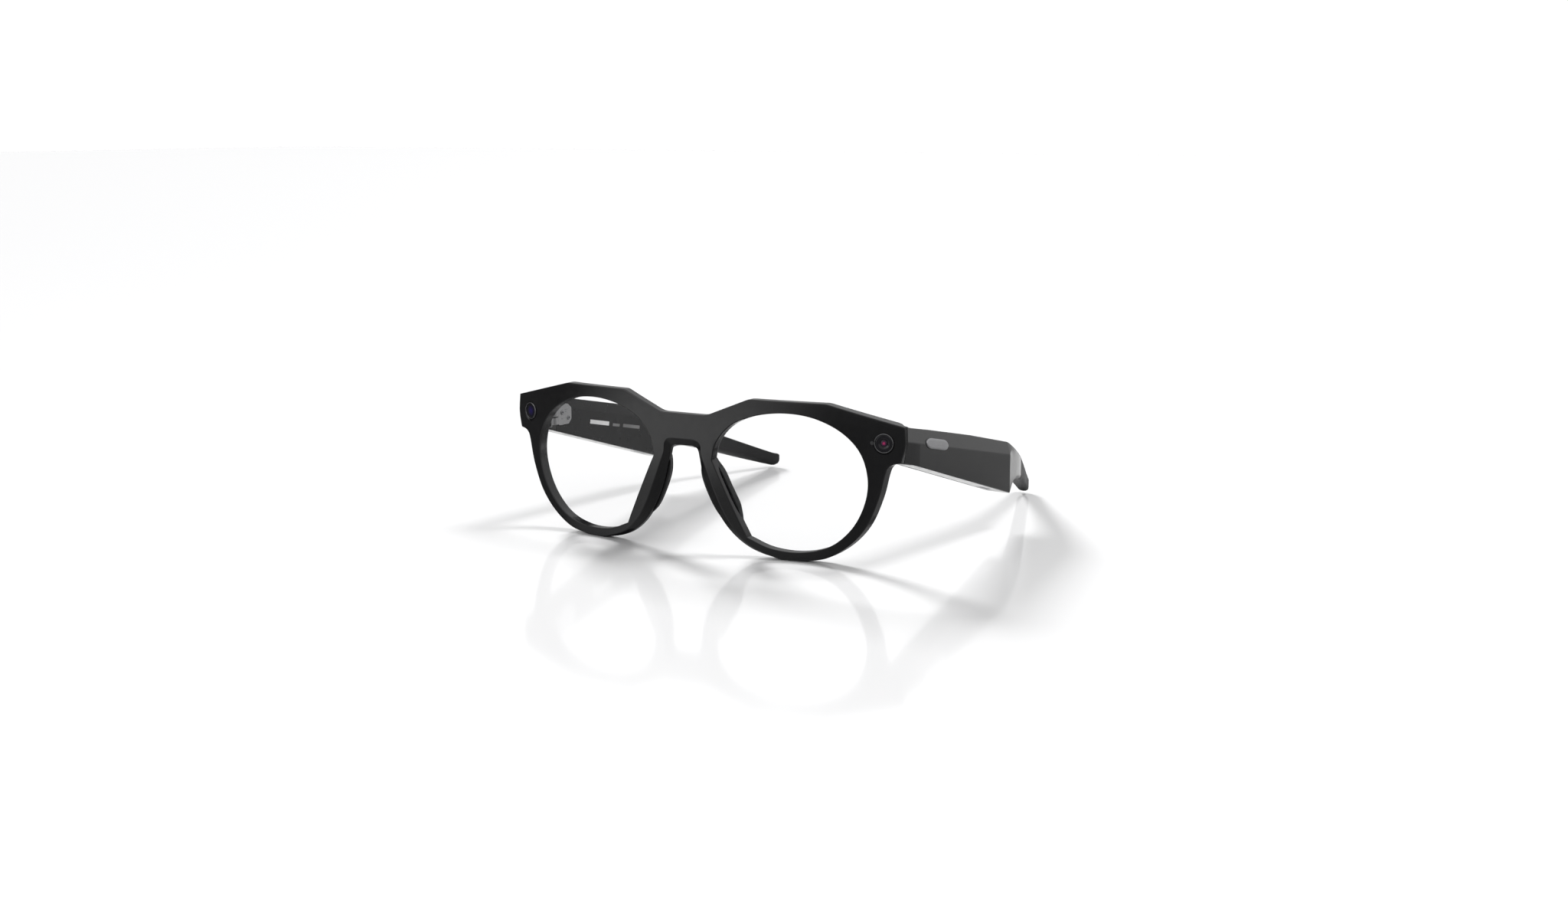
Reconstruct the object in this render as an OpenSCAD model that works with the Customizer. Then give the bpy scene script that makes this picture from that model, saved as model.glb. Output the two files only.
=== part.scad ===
// Smart glasses: a curved front with a camera and a light in its end pieces,
// two folding temples that hold the electronics, a capture button and a power switch.
// Millimetres. +Z up, the front faces -Y, the wearer's left is +X.
// The glasses stand on the bottoms of both rims and on both ear tips.

/* [Front] */
// Radius of the ball that the front face follows
front_r = 250; // [248:1:252]
// Radius of the ball that the front's back follows
back_r = 225; // [223:1:227]
// Thickness of the bridge; the front grows thicker towards its ends
bridge_t = 3.1; // [3:0.05:3.2]
// Depth of the bevel around the nose, behind the front face
bevel_depth = 1.4; // [1.2:0.1:1.8]
// Thickness of a lens
lens_t = 1.8; // [1.5:0.1:1.9]
// How far the lens edge sits inside the rim
groove_depth = 0.7; // [0.4:0.1:0.8]

/* [Camera and light] */
// Distance of the camera and of the light from the middle
eye_x = 67.8; // [67.6:0.1:68]
// Height of the camera and of the light
eye_z = 39.3; // [39:0.1:39.6]
// Outer diameter of the metal ring around the camera
camera_ring_d = 6.1; // [5.9:0.1:6.2]
// Outer diameter of the metal ring around the light
light_ring_d = 5.6; // [5.4:0.1:6]
// Diameter of both glass windows
window_d = 4.6; // [4.2:0.1:4.7]

/* [Temple] */
// Where the temple starts, behind the front face's nearest point
seam_y = 12.4; // [12.3:0.05:12.5]
// Gap between the front and a temple
seam_gap = 0.25; // [0.2:0.05:0.3]
// Distance from the middle to the outer face of a temple at its start
temple_x = 74.2; // [74.1:0.05:74.4]
// Thickness of the temple's block
block_t = 8; // [7.8:0.1:8.2]
// Where the block ends and the slim stem starts
block_end = 88.5; // [88:0.1:89]
// Where the ear tip ends
tip_end = 152; // [151:0.5:154]
// Wall of the temple's outer shell
wall = 1.5; // [1.3:0.1:1.6]
// Thickness of the temple's inner cover
cover_t = 1.4; // [1.2:0.1:1.5]

/* [Hinge] */
// Distance of the hinge pin from the middle
pin_x = 65; // [64.8:0.1:65.1]
// Place of the hinge pin behind the front face's nearest point
pin_y = 17.4; // [17.3:0.1:17.6]
// Radius of the hinge pin
pin_r = 0.75; // [0.6:0.05:0.8]
// Outer radius of the hinge knuckles
knuckle_r = 2.3; // [2.1:0.1:2.4]
// Running clearance between the pin and the temple's knuckle
pin_fit = 0.05; // [0.03:0.01:0.08]

/* [Controls] */
// Length of the capture button
button_l = 8; // [7:0.5:8.5]
// Width of the capture button
button_w = 2.4; // [2.2:0.1:2.6]
// Travel of the capture button
button_travel = 0.4; // [0.3:0.05:0.45]
// Travel of the power switch
switch_travel = 1.6; // [1.2:0.1:1.8]

/* [Hidden] */

// Height of the nearest point of the front face
vertex_z = 29;
// Height of the bevelled edge under the bridge, which is the frontmost edge of all
bridge_low_z = 36.5;
front_y = front_r - sqrt(pow(front_r, 2) - pow(bridge_low_z - vertex_z, 2));
middle_y = (front_y + tip_end) / 2;
ball_fn = 360;
curve_n = 4;
left = 1;
right = -1;

// Outlines of the right-hand half of the front, as [x, z].
// Corners of the top edge, from the bridge to the end piece
top_edge = [[0, 44.6], [8.6, 44.6], [23.7, 50.7], [49.3, 50.6], [74, 44.4]];
// Side of the end piece, which bulges a little
end_side = [[74, 44.4], [74.2, 38.5], [73, 33.2]];
// Notch under the end piece
notch = [[73, 33.2], [70.6, 32.7], [69, 31.4], [68.2, 29.2]];
// Outer side of the rim, down to its flat bottom
rim_side = [[68.2, 29.2], [66.3, 21.5], [62.6, 12.9], [57, 6.4], [49.5, 1.7], [41, 0]];
// Nose side of the rim behind the bevel, and the same line on the front face
nose_body = [[34.5, 0], [27.6, 1.2], [21.9, 3.5], [16.7, 7.5], [12.5, 12.8], [9.2, 18.9],
    [6.9, 25.4], [5.7, 30.8], [5, 33.2], [3.4, 34.1], [0, 34.2]];
nose_face = [[34.5, 0.6], [28.2, 1.9], [23.2, 4.3], [18.5, 8.6], [15, 13.9], [11.9, 20.3],
    [9, 27.2], [7.1, 31.8], [6.8, 34.8], [5, 36.3], [0, bridge_low_z]];
// Lens opening, from its upper corner at the nose, round the lens, to its lower corner
opening = [[11.1, 30.5], [12.6, 36.2], [17.6, 41.9], [25.5, 45.4], [35.5, 46.9], [45.5, 45.9],
    [54.5, 42], [60.6, 35.8], [63, 27.5], [61.8, 19.3], [57.6, 11.5], [50.6, 5.6], [41, 3],
    [31, 3.5], [23, 6.4]];
// Nose pad's outline on the back of the rim
pad_line = [[7.8, 33], [6.6, 30], [7.3, 25.4], [9.2, 20.4], [12.2, 16], [14, 17.2],
    [12.6, 22], [11, 27], [9.8, 31.5]];

// Side view of the temple, as [y, z]
block_top = [[seam_y, 44.4], [30, 41.2], [60, 35.4], [block_end, 29.2]];
block_bottom = [[block_end, 11.6], [18, 31.8], [seam_y, 32.9]];
stem_top = [[block_end, 29.2], [94, 26.3], [102, 23.1], [115, 18.2], [130, 12.3], [143, 7.2],
    [tip_end - 2, 4.4]];
stem_end = [[tip_end - 2, 4.4], [tip_end, 2.2], [tip_end - 2, 0]];
stem_bottom = [[tip_end - 2, 0], [144, 1.7], [130, 6], [117, 10.2], [106, 13.3], [98, 14.5],
    [92.5, 13.6], [block_end, 11.6]];
// Top view of the stem, as [x, y]
stem_outer = [[75, block_end], [71.6, 104], [66.8, 118.5], [61.4, 133.5], [54.8, tip_end]];
stem_inner = [[50.4, tip_end], [56.6, 133.5], [61.4, 118.5], [65.2, 104], [67, block_end]];
// Where the soft ear tip begins
sleeve_y = 108;

// The crease along the temple's outer face runs down and slightly outward
crease_z = 39.9;
crease_pitch = 11.2;
crease_yaw = 0.6;
// Above the crease the outer face leans in by this much over this height
facet_lean = 1.6;
facet_h = 5.6;
// Height of the step along the inner face, above the crease
shelf = 1;

// Heights of the hinge's knuckles: front, temple, front
knuckle_z = [[33.8, 36.2], [36.4, 39.2], [39.4, 41.8]];
// Depth of the lens's front and of the channel along the brow, behind the front face
lens_front = 0.7;
brow_depth = 1.8;
// Charging contacts on the back of the bridge
contact_x = [-2.6, 0, 2.6];
contact_z = 39.4;
contact_r = 0.6;
// How far a nose pad is turned from straight back, and how far it stands off the rim
pad_turn = 28;
pad_t = 3.6;
// Turn and depth of the camera and the light, which sit square to the curved face
eye_turn = asin(eye_x / front_r);
eye_y = front_r - sqrt(pow(front_r, 2) - pow(eye_x, 2) - pow(eye_z - vertex_z, 2));
// Depths in an end piece: the wall in front of its pocket, the pocket's floor, its back
front_wall = 1.1;
pocket_floor = 4;
pod_back = 4.4;
screw_r = 0.55;
// Places of the hinge screws, on the end piece and on the temple's inner face
bracket_screws_at = [[-3.6, 4.8], [-2.6, -4.9]];
leaf_screws_at = [[25, 36.8], [28.6, 34.6]];
// Length, width and lean of the metal plate on the temple's outer face
emblem_l = 15.6;
emblem_w = 3.6;
emblem_lean = 8;
// Place of the power switch along the crease
switch_v = 25;
// Middle of the capture button in the temple's top face
button_y = 27;
button_x = 70.1;
// Half sizes and depth of the room under the capture button
button_pocket = [button_w / 2 + 0.7, button_l / 2 + 0.7, 3.2];
// Middle of the speaker grille in the temple's bottom face
grille_y = 78;
grille_x = 70.4;
// The plate of the temple's hinge half, an octagon let into the inner cover, as [y, z]
plate_line = [[22.6, 32.9], [22.6, 39.6], [23.8, 40.3], [28.6, 39.4], [30.4, 37.9], [30.4, 34],
    [28.8, 32.4], [23.6, 32.4]];
plate_t = 1.1;
// The metal core that stiffens the ear tip runs between these points
core_from = [67.9, 100, 20.5];
core_to = [58, 140, 6];
// Plain bars printed on the right temple's inner face, as [from, to, height] along the crease
marks = [[30.4, 42.2, 1.7], [44.6, 49, 1], [51.2, 62, 1.2]];
mark_w = -3.4;

// One point of a smooth curve through the points p, at the fraction t of span i
function before(p, i) = i > 0 ? p[i - 1] : 2 * p[0] - p[1];
function after(p, i) = i + 2 < len(p) ? p[i + 2] : 2 * p[i + 1] - p[i];
function on_span(p, i, t) =
    0.5 * (2 * p[i] + (p[i + 1] - before(p, i)) * t
    + (2 * before(p, i) - 5 * p[i] + 4 * p[i + 1] - after(p, i)) * t * t
    + (3 * p[i] - before(p, i) - 3 * p[i + 1] + after(p, i)) * t * t * t);
// A smooth curve through the points p, without its last point
function curve(p) = [for (i = [0:len(p) - 2]) for (k = [0:curve_n - 1]) on_span(p, i, k / curve_n)];
// The same points in the other half, in the opposite order
function mirrored(p) = [for (i = [len(p) - 1:-1:0]) [-p[i][0], p[i][1]]];
function unit(v) = v / norm(v);
// A closed clockwise outline grown outward by d
function grown(p, d) = [for (i = [0:len(p) - 1])
    let (a = unit(p[i] - p[(i + len(p) - 1) % len(p)]),
        b = unit(p[(i + 1) % len(p)] - p[i]),
        n = [-a[1] - b[1], a[0] + b[0]])
    p[i] + n * d / (1 + a * b)];
// Heights of the temple's top and bottom edges
function top_z(y) = lookup(y, block_top);
function bottom_z(y) = lookup(y, [block_bottom[2], block_bottom[1], block_bottom[0]]);
// Slopes of the temple's top and bottom edges, in degrees
function top_slope(y) = atan(top_z(y + 1) - top_z(y));
function bottom_slope(y) = atan(bottom_z(y + 1) - bottom_z(y));

// Half of the front's outline; b is 0 behind the bevel and 1 on the front face
function half_outline(b) = concat(
    [for (i = [0:3]) top_edge[i]], curve(end_side), curve(notch), curve(rim_side), [[41, 0]],
    curve([for (i = [0:len(nose_body) - 1]) nose_body[i] * (1 - b) + nose_face[i] * b]));
function outline(b) = let (h = half_outline(b), n = len(h))
    concat([for (i = [0:n - 1]) h[i]], [[0, b * bridge_low_z + (1 - b) * nose_body[10][1]]],
    [for (i = [n - 1:-1:1]) [-h[i][0], h[i][1]]]);
function opening_outline(d) = grown(concat(curve(opening), [opening[len(opening) - 1]]), d);

module place() translate([0, -middle_y, 0]) children();
module on_side(s) mirror([s < 0 ? 1 : 0, 0, 0]) children();
// A ball whose surface lies at a depth behind the front face
module ball(depth) translate([0, front_r, vertex_z]) sphere(r = front_r - depth, $fn = ball_fn);
// A ball whose surface lies at a depth behind the back of the front
module back_ball(depth = 0) translate([0, bridge_t + back_r, vertex_z])
    sphere(r = back_r - depth, $fn = ball_fn);
// A curved layer of the front between two depths
module layer(near, far) {
    difference() {
        intersection() {
            ball(near);
            children();
        }
        ball(far);
    }
}
// An [x, z] outline, and its thickness along Y
module wall_of(p, y0 = -5, y1 = 40) translate([0, y1, 0]) rotate([90, 0, 0])
    linear_extrude(height = y1 - y0) polygon(p);
// A [y, z] outline, and its thickness along X
module side_of(p, x0 = 40, x1 = 90) translate([x0, 0, 0]) rotate([90, 0, 90])
    linear_extrude(height = x1 - x0) polygon(p);
// An [x, y] outline, and its thickness along Z
module plan_of(p, z0 = -10, z1 = 70) translate([0, 0, z0])
    linear_extrude(height = z1 - z0) polygon(p);
// Local frame of an end piece: X outward along the face, Y into the front, Z up
module at_eye() translate([eye_x, eye_y, eye_z]) rotate([0, 0, eye_turn]) children();
module disc(r, v0, v1, u = 0, w = 0) translate([u, v1, w]) rotate([90, 0, 0])
    cylinder(r = r, h = v1 - v0, $fn = 64);
module box(low, high) translate(low) cube(high - low);

// ---- Front ----

module pocket() at_eye() box([-4.3, front_wall, -4], [3.2, pocket_floor + 2, 4]);
module bracket_plate() at_eye() box([-5.2, pocket_floor, -5.6], [3.4, pocket_floor + 1, 5.6]);
module brow_strip(grow = 0) {
    s = [[0, 43.3], [8.8, 43.3], [24, 49.5], [49.2, 49.5], [66.5, 45.1], [66.5, 42.6], [64.6, 42.6],
        [64.6, 44.2], [49, 48.1], [24.3, 48.1], [9.1, 41.8], [0, 41.8]];
    whole = concat([for (i = [1:len(s) - 2]) s[i]], mirrored([for (i = [1:len(s) - 2]) s[i]]));
    wall_of(grown(whole, grow), 0, 30);
}
module mitre(gap) plan_of([[90, -2], [temple_x, seam_y - gap], [69.6, 16.8 - gap], [69.6, 40], [90, 40]]);

// The thicker end piece behind the camera or the light
module pod() intersection() {
    at_eye() box([-5.4, 1.5, -5.8], [6.5, pod_back, 5.9]);
    wall_of(outline(0));
}

module front_frame() color("black") place() difference() {
    union() {
        difference() {
            union() for (step = [[0, 1], [bevel_depth / 2, 0.5], [bevel_depth, 0]])
                intersection() {
                    ball(step[0]);
                    wall_of(outline(step[1]));
                }
            back_ball();
        }
        for (s = [left, right]) on_side(s) pod();
    }
    for (s = [left, right]) on_side(s) {
        wall_of(opening_outline(0));
        layer(lens_front, lens_front + lens_t) wall_of(opening_outline(groove_depth));
        mitre(seam_gap);
        pocket();
        bracket_plate();
        at_eye() disc((s == left ? camera_ring_d : light_ring_d) / 2, -2, front_wall + 0.1);
        at_eye() for (p = bracket_screws_at) disc(screw_r, 2.2, pocket_floor + 0.1, p[0], p[1]);
    }
    at_eye() disc(0.6, -2, front_wall + 0.1, -3.7, 0);
    layer(brow_depth, 6) brow_strip();
    contacts(2, 6);
}
module contacts(y0, y1) for (x = contact_x) disc(contact_r, y0, y1, x, contact_z);

module brow_cover() color("black") place() difference() {
    layer(brow_depth + 0.4, 6) brow_strip();
    back_ball();
    for (s = [left, right]) on_side(s) {
        pocket();
        bracket_plate();
    }
    contacts(2, 6);
}
module brow_flex() color("orange") place() layer(brow_depth, brow_depth + 0.3) brow_strip();

module lens(s) color("lightcyan", 0.35) place() on_side(s)
    layer(lens_front, lens_front + lens_t) wall_of(opening_outline(groove_depth));
module lens_left() lens(left);
module lens_right() lens(right);

module nose_pad(s) color("dimgray") place() on_side(s) difference() {
    intersection() {
        back_ball();
        translate([pad_line[1][0], bridge_t, 0]) rotate([0, 0, -pad_turn])
            translate([-pad_line[1][0], 0, 0]) wall_of(pad_line, -6, 12);
    }
    back_ball(pad_t);
}
module nose_pad_left() nose_pad(left);
module nose_pad_right() nose_pad(right);

module camera_ring() color("silver") place() at_eye() difference() {
    disc(camera_ring_d / 2, -0.25, front_wall);
    disc(window_d / 2, -1, front_wall + 1);
}
module light_ring() color("silver") place() on_side(right) at_eye() difference() {
    disc(light_ring_d / 2, -0.25, front_wall);
    disc(window_d / 2, -1, front_wall + 1);
}
module camera_window() color("darkred") place() at_eye() disc(window_d / 2, 0.1, 0.6);
module light_window() color("navy") place() on_side(right) at_eye() disc(window_d / 2, 0.1, 0.6);
module camera_barrel() color("gray") place() at_eye() difference() {
    union() {
        disc(2.1, 0.7, 3);
        disc(2.6, 1.2, 3);
    }
    disc(0.9, 0, 1.6);
}
module camera_board() color("green") place() at_eye() box([-4.1, 3, -3.8], [3, pocket_floor, 3.4]);
module light_board() color("green") place() on_side(right) at_eye() union() {
    box([-4.1, 2.6, -3.8], [3, 3.4, 3.4]);
    box([-1.2, 1.4, -1.2], [1.2, 2.6, 1.2]);
}
module front_microphone() color("silver") place() at_eye() box([-4.2, front_wall, -1.4], [-2.8, 2.2, 1.4]);
module microphone_mesh() color("gray") place() at_eye() disc(0.6, -0.05, 0.6, -3.7, 0);
module charge_contacts() color("gold") place() contacts(2, bridge_t + 0.4);

// ---- Hinge ----

module knuckle(z, r) translate([pin_x, pin_y, z[0]]) cylinder(r = r, h = z[1] - z[0], $fn = 64);
module hinge_bracket(s) color("gray") place() on_side(s) difference() {
    union() {
        bracket_plate();
        for (z = [knuckle_z[0], knuckle_z[2]]) {
            knuckle(z, knuckle_r);
            box([pin_x - 1.8, 13.6, z[0]], [pin_x + 1.8, pin_y, z[1]]);
        }
    }
    knuckle([30, 50], pin_r);
    at_eye() for (p = bracket_screws_at) disc(screw_r, 3, 6, p[0], p[1]);
}
module hinge_bracket_left() hinge_bracket(left);
module hinge_bracket_right() hinge_bracket(right);
module bracket_screws() color("silver") place() for (s = [left, right]) on_side(s) at_eye()
    for (p = bracket_screws_at) {
        disc(screw_r, 2.2, pocket_floor + 1, p[0], p[1]);
        disc(0.9, pocket_floor + 1, pocket_floor + 1.35, p[0], p[1]);
    }
module hinge_pin(s) color("silver") place() on_side(s) {
    knuckle([knuckle_z[0][0], knuckle_z[2][1]], pin_r);
    knuckle([knuckle_z[2][1], knuckle_z[2][1] + 0.4], 1.3);
}
module hinge_pin_left() hinge_pin(left);
module hinge_pin_right() hinge_pin(right);

module leaf_solid() {
    side_of(plate_line, inner_x(22), inner_x(22) + plate_t);
    knuckle(knuckle_z[1], knuckle_r);
    box([pin_x + 0.4, pin_y, knuckle_z[1][0]], [pin_x + 2, 23.6, knuckle_z[1][1]]);
}
module hinge_leaf(s) color("gray") place() on_side(s) difference() {
    leaf_solid();
    knuckle([30, 50], pin_r + pin_fit);
    for (p = leaf_screws_at) screw_at(p, screw_r, 4);
}
function inner_x(y) = temple_x - block_t + (y - seam_y) * tan(crease_yaw);
module screw_at(p, r, depth) translate([inner_x(22) - 1, p[0], p[1]]) rotate([0, 90, 0])
    cylinder(r = r, h = depth + 1, $fn = 32);
module hinge_leaf_left() hinge_leaf(left);
module hinge_leaf_right() hinge_leaf(right);
module leaf_screws(s) color("silver") place() on_side(s) for (p = leaf_screws_at)
    translate([inner_x(22) - 0.15, p[0], p[1]]) rotate([0, 90, 0]) cylinder(r = screw_r, h = 4.1, $fn = 32);
module leaf_screws_left() leaf_screws(left);
module leaf_screws_right() leaf_screws(right);

// ---- Temples ----

// A bar along the crease; its section is [across, up] from the crease, 0 at the outer face
module along_crease(section) translate([temple_x, seam_y, crease_z])
    rotate([-crease_pitch, 0, -crease_yaw]) translate([0, -30, 0]) wall_of(section, 0, 150);
module block_body() difference() {
    intersection() {
        side_of(concat(block_top, block_bottom));
        along_crease([[0, -40], [0, 0], [-facet_lean * 2, facet_h * 2], [-block_t + shelf * 2, facet_h * 2],
            [-block_t, shelf], [-block_t, -40]]);
    }
    plan_of([[50, -20], [83.8, 3.2], [temple_x, seam_y], [69.6, 16.8], [50, 16.8]]);
    knuckle([knuckle_z[0][0] - 0.4, knuckle_z[2][1] + 0.6], knuckle_r + 0.35);
}
// The part of the block that the inner cover fills
module cover_zone() intersection() {
    along_crease([[-block_t - 1, -40], [-block_t + cover_t, -40], [-block_t + cover_t, 20], [-block_t - 1, 20]]);
    side_of([[21.6, 60], [86.5, 60], [86.5, 0], [21.6, 0]]);
}
module cavity() intersection() {
    along_crease([[-wall, -40], [-wall, 0], [-wall - facet_lean, facet_h], [-block_t + cover_t, facet_h],
        [-block_t + cover_t, -40]]);
    side_of([[33, top_z(33) - 1.6], [60, top_z(60) - 1.6], [85, top_z(85) - 1.6],
        [85, bottom_z(85) + 1.8], [33, bottom_z(33) + 1.8]]);
}
module stem(y0, y1) intersection() {
    side_of(concat(curve(stem_top), curve(stem_end), curve(stem_bottom), [[block_end, 11.6]]));
    plan_of(concat(curve(stem_outer), [stem_outer[4]], curve(stem_inner), [stem_inner[4]]));
    side_of([[y0, 60], [y1, 60], [y1, -5], [y0, -5]]);
}
// Local frame of the temple: X out of the outer face, Y along the crease, Z up
module in_block() translate([temple_x, seam_y, crease_z]) rotate([-crease_pitch, 0, -crease_yaw]) children();
// Frames on the temple's top and bottom faces, Z up and square to the face
module at_top(y) translate([button_x, y, top_z(y)]) rotate([top_slope(y), 0, 0]) children();
module at_bottom(y) translate([grille_x, y, bottom_z(y)]) rotate([bottom_slope(y), 0, 0]) children();
// A bar with round ends, along Y, between two heights
module pill(l, w, z0, z1) {
    r = w / 2;
    box([-r, r - l / 2, z0], [r, l / 2 - r, z1]);
    for (y = [r - l / 2, l / 2 - r]) translate([0, y, z0]) cylinder(r = r, h = z1 - z0, $fn = 48);
}
module emblem_pill() in_block() translate([0, 21.2, 0.5]) rotate([0, 90 - emblem_lean, 0])
    pill(emblem_l, emblem_w, -1, 0.3);
module core_bar() {
    d = core_to - core_from;
    translate(core_from) rotate([asin(d[2] / norm(d)), 0, -atan(d[0] / d[1])])
        box([-0.6, 0, -1.2], [0.6, norm(d), 1.2]);
}
module grille_plate() at_bottom(grille_y) box([-1.5, -4.5, 0], [1.5, 4.5, 0.6]);

module temple_shell() difference() {
    union() {
        block_body();
        stem(block_end, sleeve_y);
    }
    cover_zone();
    cavity();
    leaf_solid();
    for (p = leaf_screws_at) screw_at(p, screw_r, 4);
    emblem_pill();
    core_bar();
    grille_plate();
    at_bottom(grille_y) box([-1, -3.9, -1], [1, 3.9, 3]);
}
module temple_shell_left() color("black") place() temple_shell();
module temple_shell_right() color("black") place() on_side(right) difference() {
    temple_shell();
    at_top(button_y) {
        pill(button_l + 0.3, button_w + 0.3, -2, 2);
        box(-button_pocket, [button_pocket[0], button_pocket[1], -1.2]);
    }
}

module temple_cover() difference() {
    intersection() {
        block_body();
        cover_zone();
    }
    leaf_solid();
    for (p = leaf_screws_at) screw_at(p, screw_r, 4);
}
module temple_cover_left() color("black") place() difference() {
    temple_cover();
    in_block() box([-block_t - 1, switch_v - 2.1, -0.95], [-block_t + 3, switch_v + 2.1, 0.95]);
}
module temple_cover_right() color("black") place() on_side(right) temple_cover();

module ear_tip(s) color("dimgray") place() on_side(s) difference() {
    stem(sleeve_y, tip_end + 5);
    core_bar();
}
module ear_tip_left() ear_tip(left);
module ear_tip_right() ear_tip(right);
module temple_core(s) color("silver") place() on_side(s) core_bar();
module temple_core_left() temple_core(left);
module temple_core_right() temple_core(right);
module emblem_plate(s) color("silver") place() on_side(s) emblem_pill();
module emblem_plate_left() emblem_plate(left);
module emblem_plate_right() emblem_plate(right);

module speaker(s) color("gray") place() on_side(s) in_block() box([-6.3, 64, -8.6], [-2.6, 73, 1.6]);
module speaker_left() speaker(left);
module speaker_right() speaker(right);
module speaker_grille(s) color("gray") place() on_side(s) difference() {
    grille_plate();
    at_bottom(grille_y) for (y = [-3:1.5:3]) box([-0.9, y - 0.35, -1], [0.9, y + 0.35, 1]);
}
module speaker_grille_left() speaker_grille(left);
module speaker_grille_right() speaker_grille(right);

module battery_left() color("royalblue") place() in_block() box([-6.2, 30, -5.8], [-2.4, 59, 2.2]);
module battery_board() color("green") place() in_block() box([-6.2, 59.6, -6], [-2.6, 63, 2]);
module switch_housing() color("gray") place() in_block()
    box([-5.8, switch_v - 3, -2], [-3.6, switch_v + 3, 1.8]);
module main_board() color("green") place() on_side(right) in_block() box([-3.4, 23.5, -5.6], [-2.4, 62, 2.2]);
module processor_shield() color("silver") place() on_side(right) in_block()
    box([-5.2, 26, -4.8], [-3.4, 39, 1.6]);
module battery_right() color("royalblue") place() on_side(right) in_block()
    box([-6.3, 42, -5.4], [-3.5, 61, 2]);
module touch_film() color("orange") place() on_side(right) in_block()
    box([-wall - 0.25, 26, -5.4], [-wall, 62, -0.3]);

// ---- Marks and controls ----

module marking_bars() color("white") place() on_side(right) in_block()
    for (m = marks) box([-block_t - 0.06, m[0], mark_w], [-block_t, m[1], mark_w + m[2]]);

module capture_button() color("black") place() on_side(right) at_top(button_y) {
    pill(button_l, button_w, -1.6, 0.55);
    box([-button_w / 2 - 0.4, -button_l / 2 - 0.4, -1.7], [button_w / 2 + 0.4, button_l / 2 + 0.4, -1.25]);
}
module button_switch() color("silver") place() on_side(right) at_top(button_y)
    box([-1.4, -2.2, -3.2], [1.4, 2.2, -1.75 - button_travel]);
module power_switch() color("dimgray") place() in_block() translate([0, switch_v, 0]) {
    box([-block_t - 0.45, -1 - switch_travel / 2, -0.8], [-6.2, 1 - switch_travel / 2, 0.8]);
    box([-6.5, -1.6 - switch_travel / 2, -1.4], [-6.1, 1.6 - switch_travel / 2, 1.4]);
}

front_frame();
brow_cover();
brow_flex();
lens_left();
lens_right();
nose_pad_left();
nose_pad_right();
camera_ring();
camera_window();
camera_barrel();
camera_board();
light_ring();
light_window();
light_board();
front_microphone();
microphone_mesh();
charge_contacts();
hinge_bracket_left();
hinge_bracket_right();
bracket_screws();
hinge_pin_left();
hinge_pin_right();
temple_shell_left();
temple_cover_left();
hinge_leaf_left();
leaf_screws_left();
battery_left();
battery_board();
switch_housing();
speaker_left();
speaker_grille_left();
temple_core_left();
ear_tip_left();
emblem_plate_left();
temple_shell_right();
temple_cover_right();
hinge_leaf_right();
leaf_screws_right();
battery_right();
main_board();
processor_shield();
touch_film();
button_switch();
speaker_right();
speaker_grille_right();
temple_core_right();
ear_tip_right();
emblem_plate_right();
marking_bars();
capture_button();
power_switch();
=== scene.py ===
"""Smart glasses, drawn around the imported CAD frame.

Outlines are given in the CAD file's own millimetres: x from the middle to the side, y back from
the front ball's nearest point, z up from the floor. place() turns them into metres in the frame.
"""
import math

import bmesh
import bpy
from mathutils import Matrix, Vector


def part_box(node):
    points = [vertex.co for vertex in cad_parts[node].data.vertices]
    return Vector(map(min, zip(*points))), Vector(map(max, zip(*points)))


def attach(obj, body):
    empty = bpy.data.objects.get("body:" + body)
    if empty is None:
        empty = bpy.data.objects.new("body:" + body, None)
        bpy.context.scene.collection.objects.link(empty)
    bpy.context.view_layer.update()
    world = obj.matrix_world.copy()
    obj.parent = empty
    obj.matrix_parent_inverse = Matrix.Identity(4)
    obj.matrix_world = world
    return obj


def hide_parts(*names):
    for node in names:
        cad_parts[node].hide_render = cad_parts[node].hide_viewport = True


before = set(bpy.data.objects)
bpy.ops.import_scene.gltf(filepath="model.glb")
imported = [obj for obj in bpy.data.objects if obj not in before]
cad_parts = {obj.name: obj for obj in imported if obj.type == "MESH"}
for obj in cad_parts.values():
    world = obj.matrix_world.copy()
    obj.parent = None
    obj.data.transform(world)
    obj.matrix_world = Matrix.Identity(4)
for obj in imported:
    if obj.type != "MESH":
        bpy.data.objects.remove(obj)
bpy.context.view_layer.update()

MM = 0.001
LEFT, RIGHT = 1, -1
SIDE_NAME = {LEFT: "left", RIGHT: "right"}
PIN_X, PIN_Y = 65, 17.4
pin_low, pin_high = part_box("hinge_pin_left")
MIDDLE_Y = PIN_Y - (pin_low.y + pin_high.y) / 2 / MM

# ---- Sizes ----
# The two balls that the front's faces lie on, and the bridge's thickness where they are nearest
FRONT_R, BACK_R, BRIDGE_T, VERTEX_Z = 250, 225, 3.1, 29
BEVEL_DEPTH = 1.4
OUTER_EDGE_R, OPENING_EDGE_R, BEVEL_EDGE_R = 0.35, 0.3, 0.3
# Depths of the lens's faces behind the front ball, and how far the lens reaches into the rim
LENS_FRONT, LENS_BACK, LENS_EDGE = 0.7, 2.5, 0.5
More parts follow.
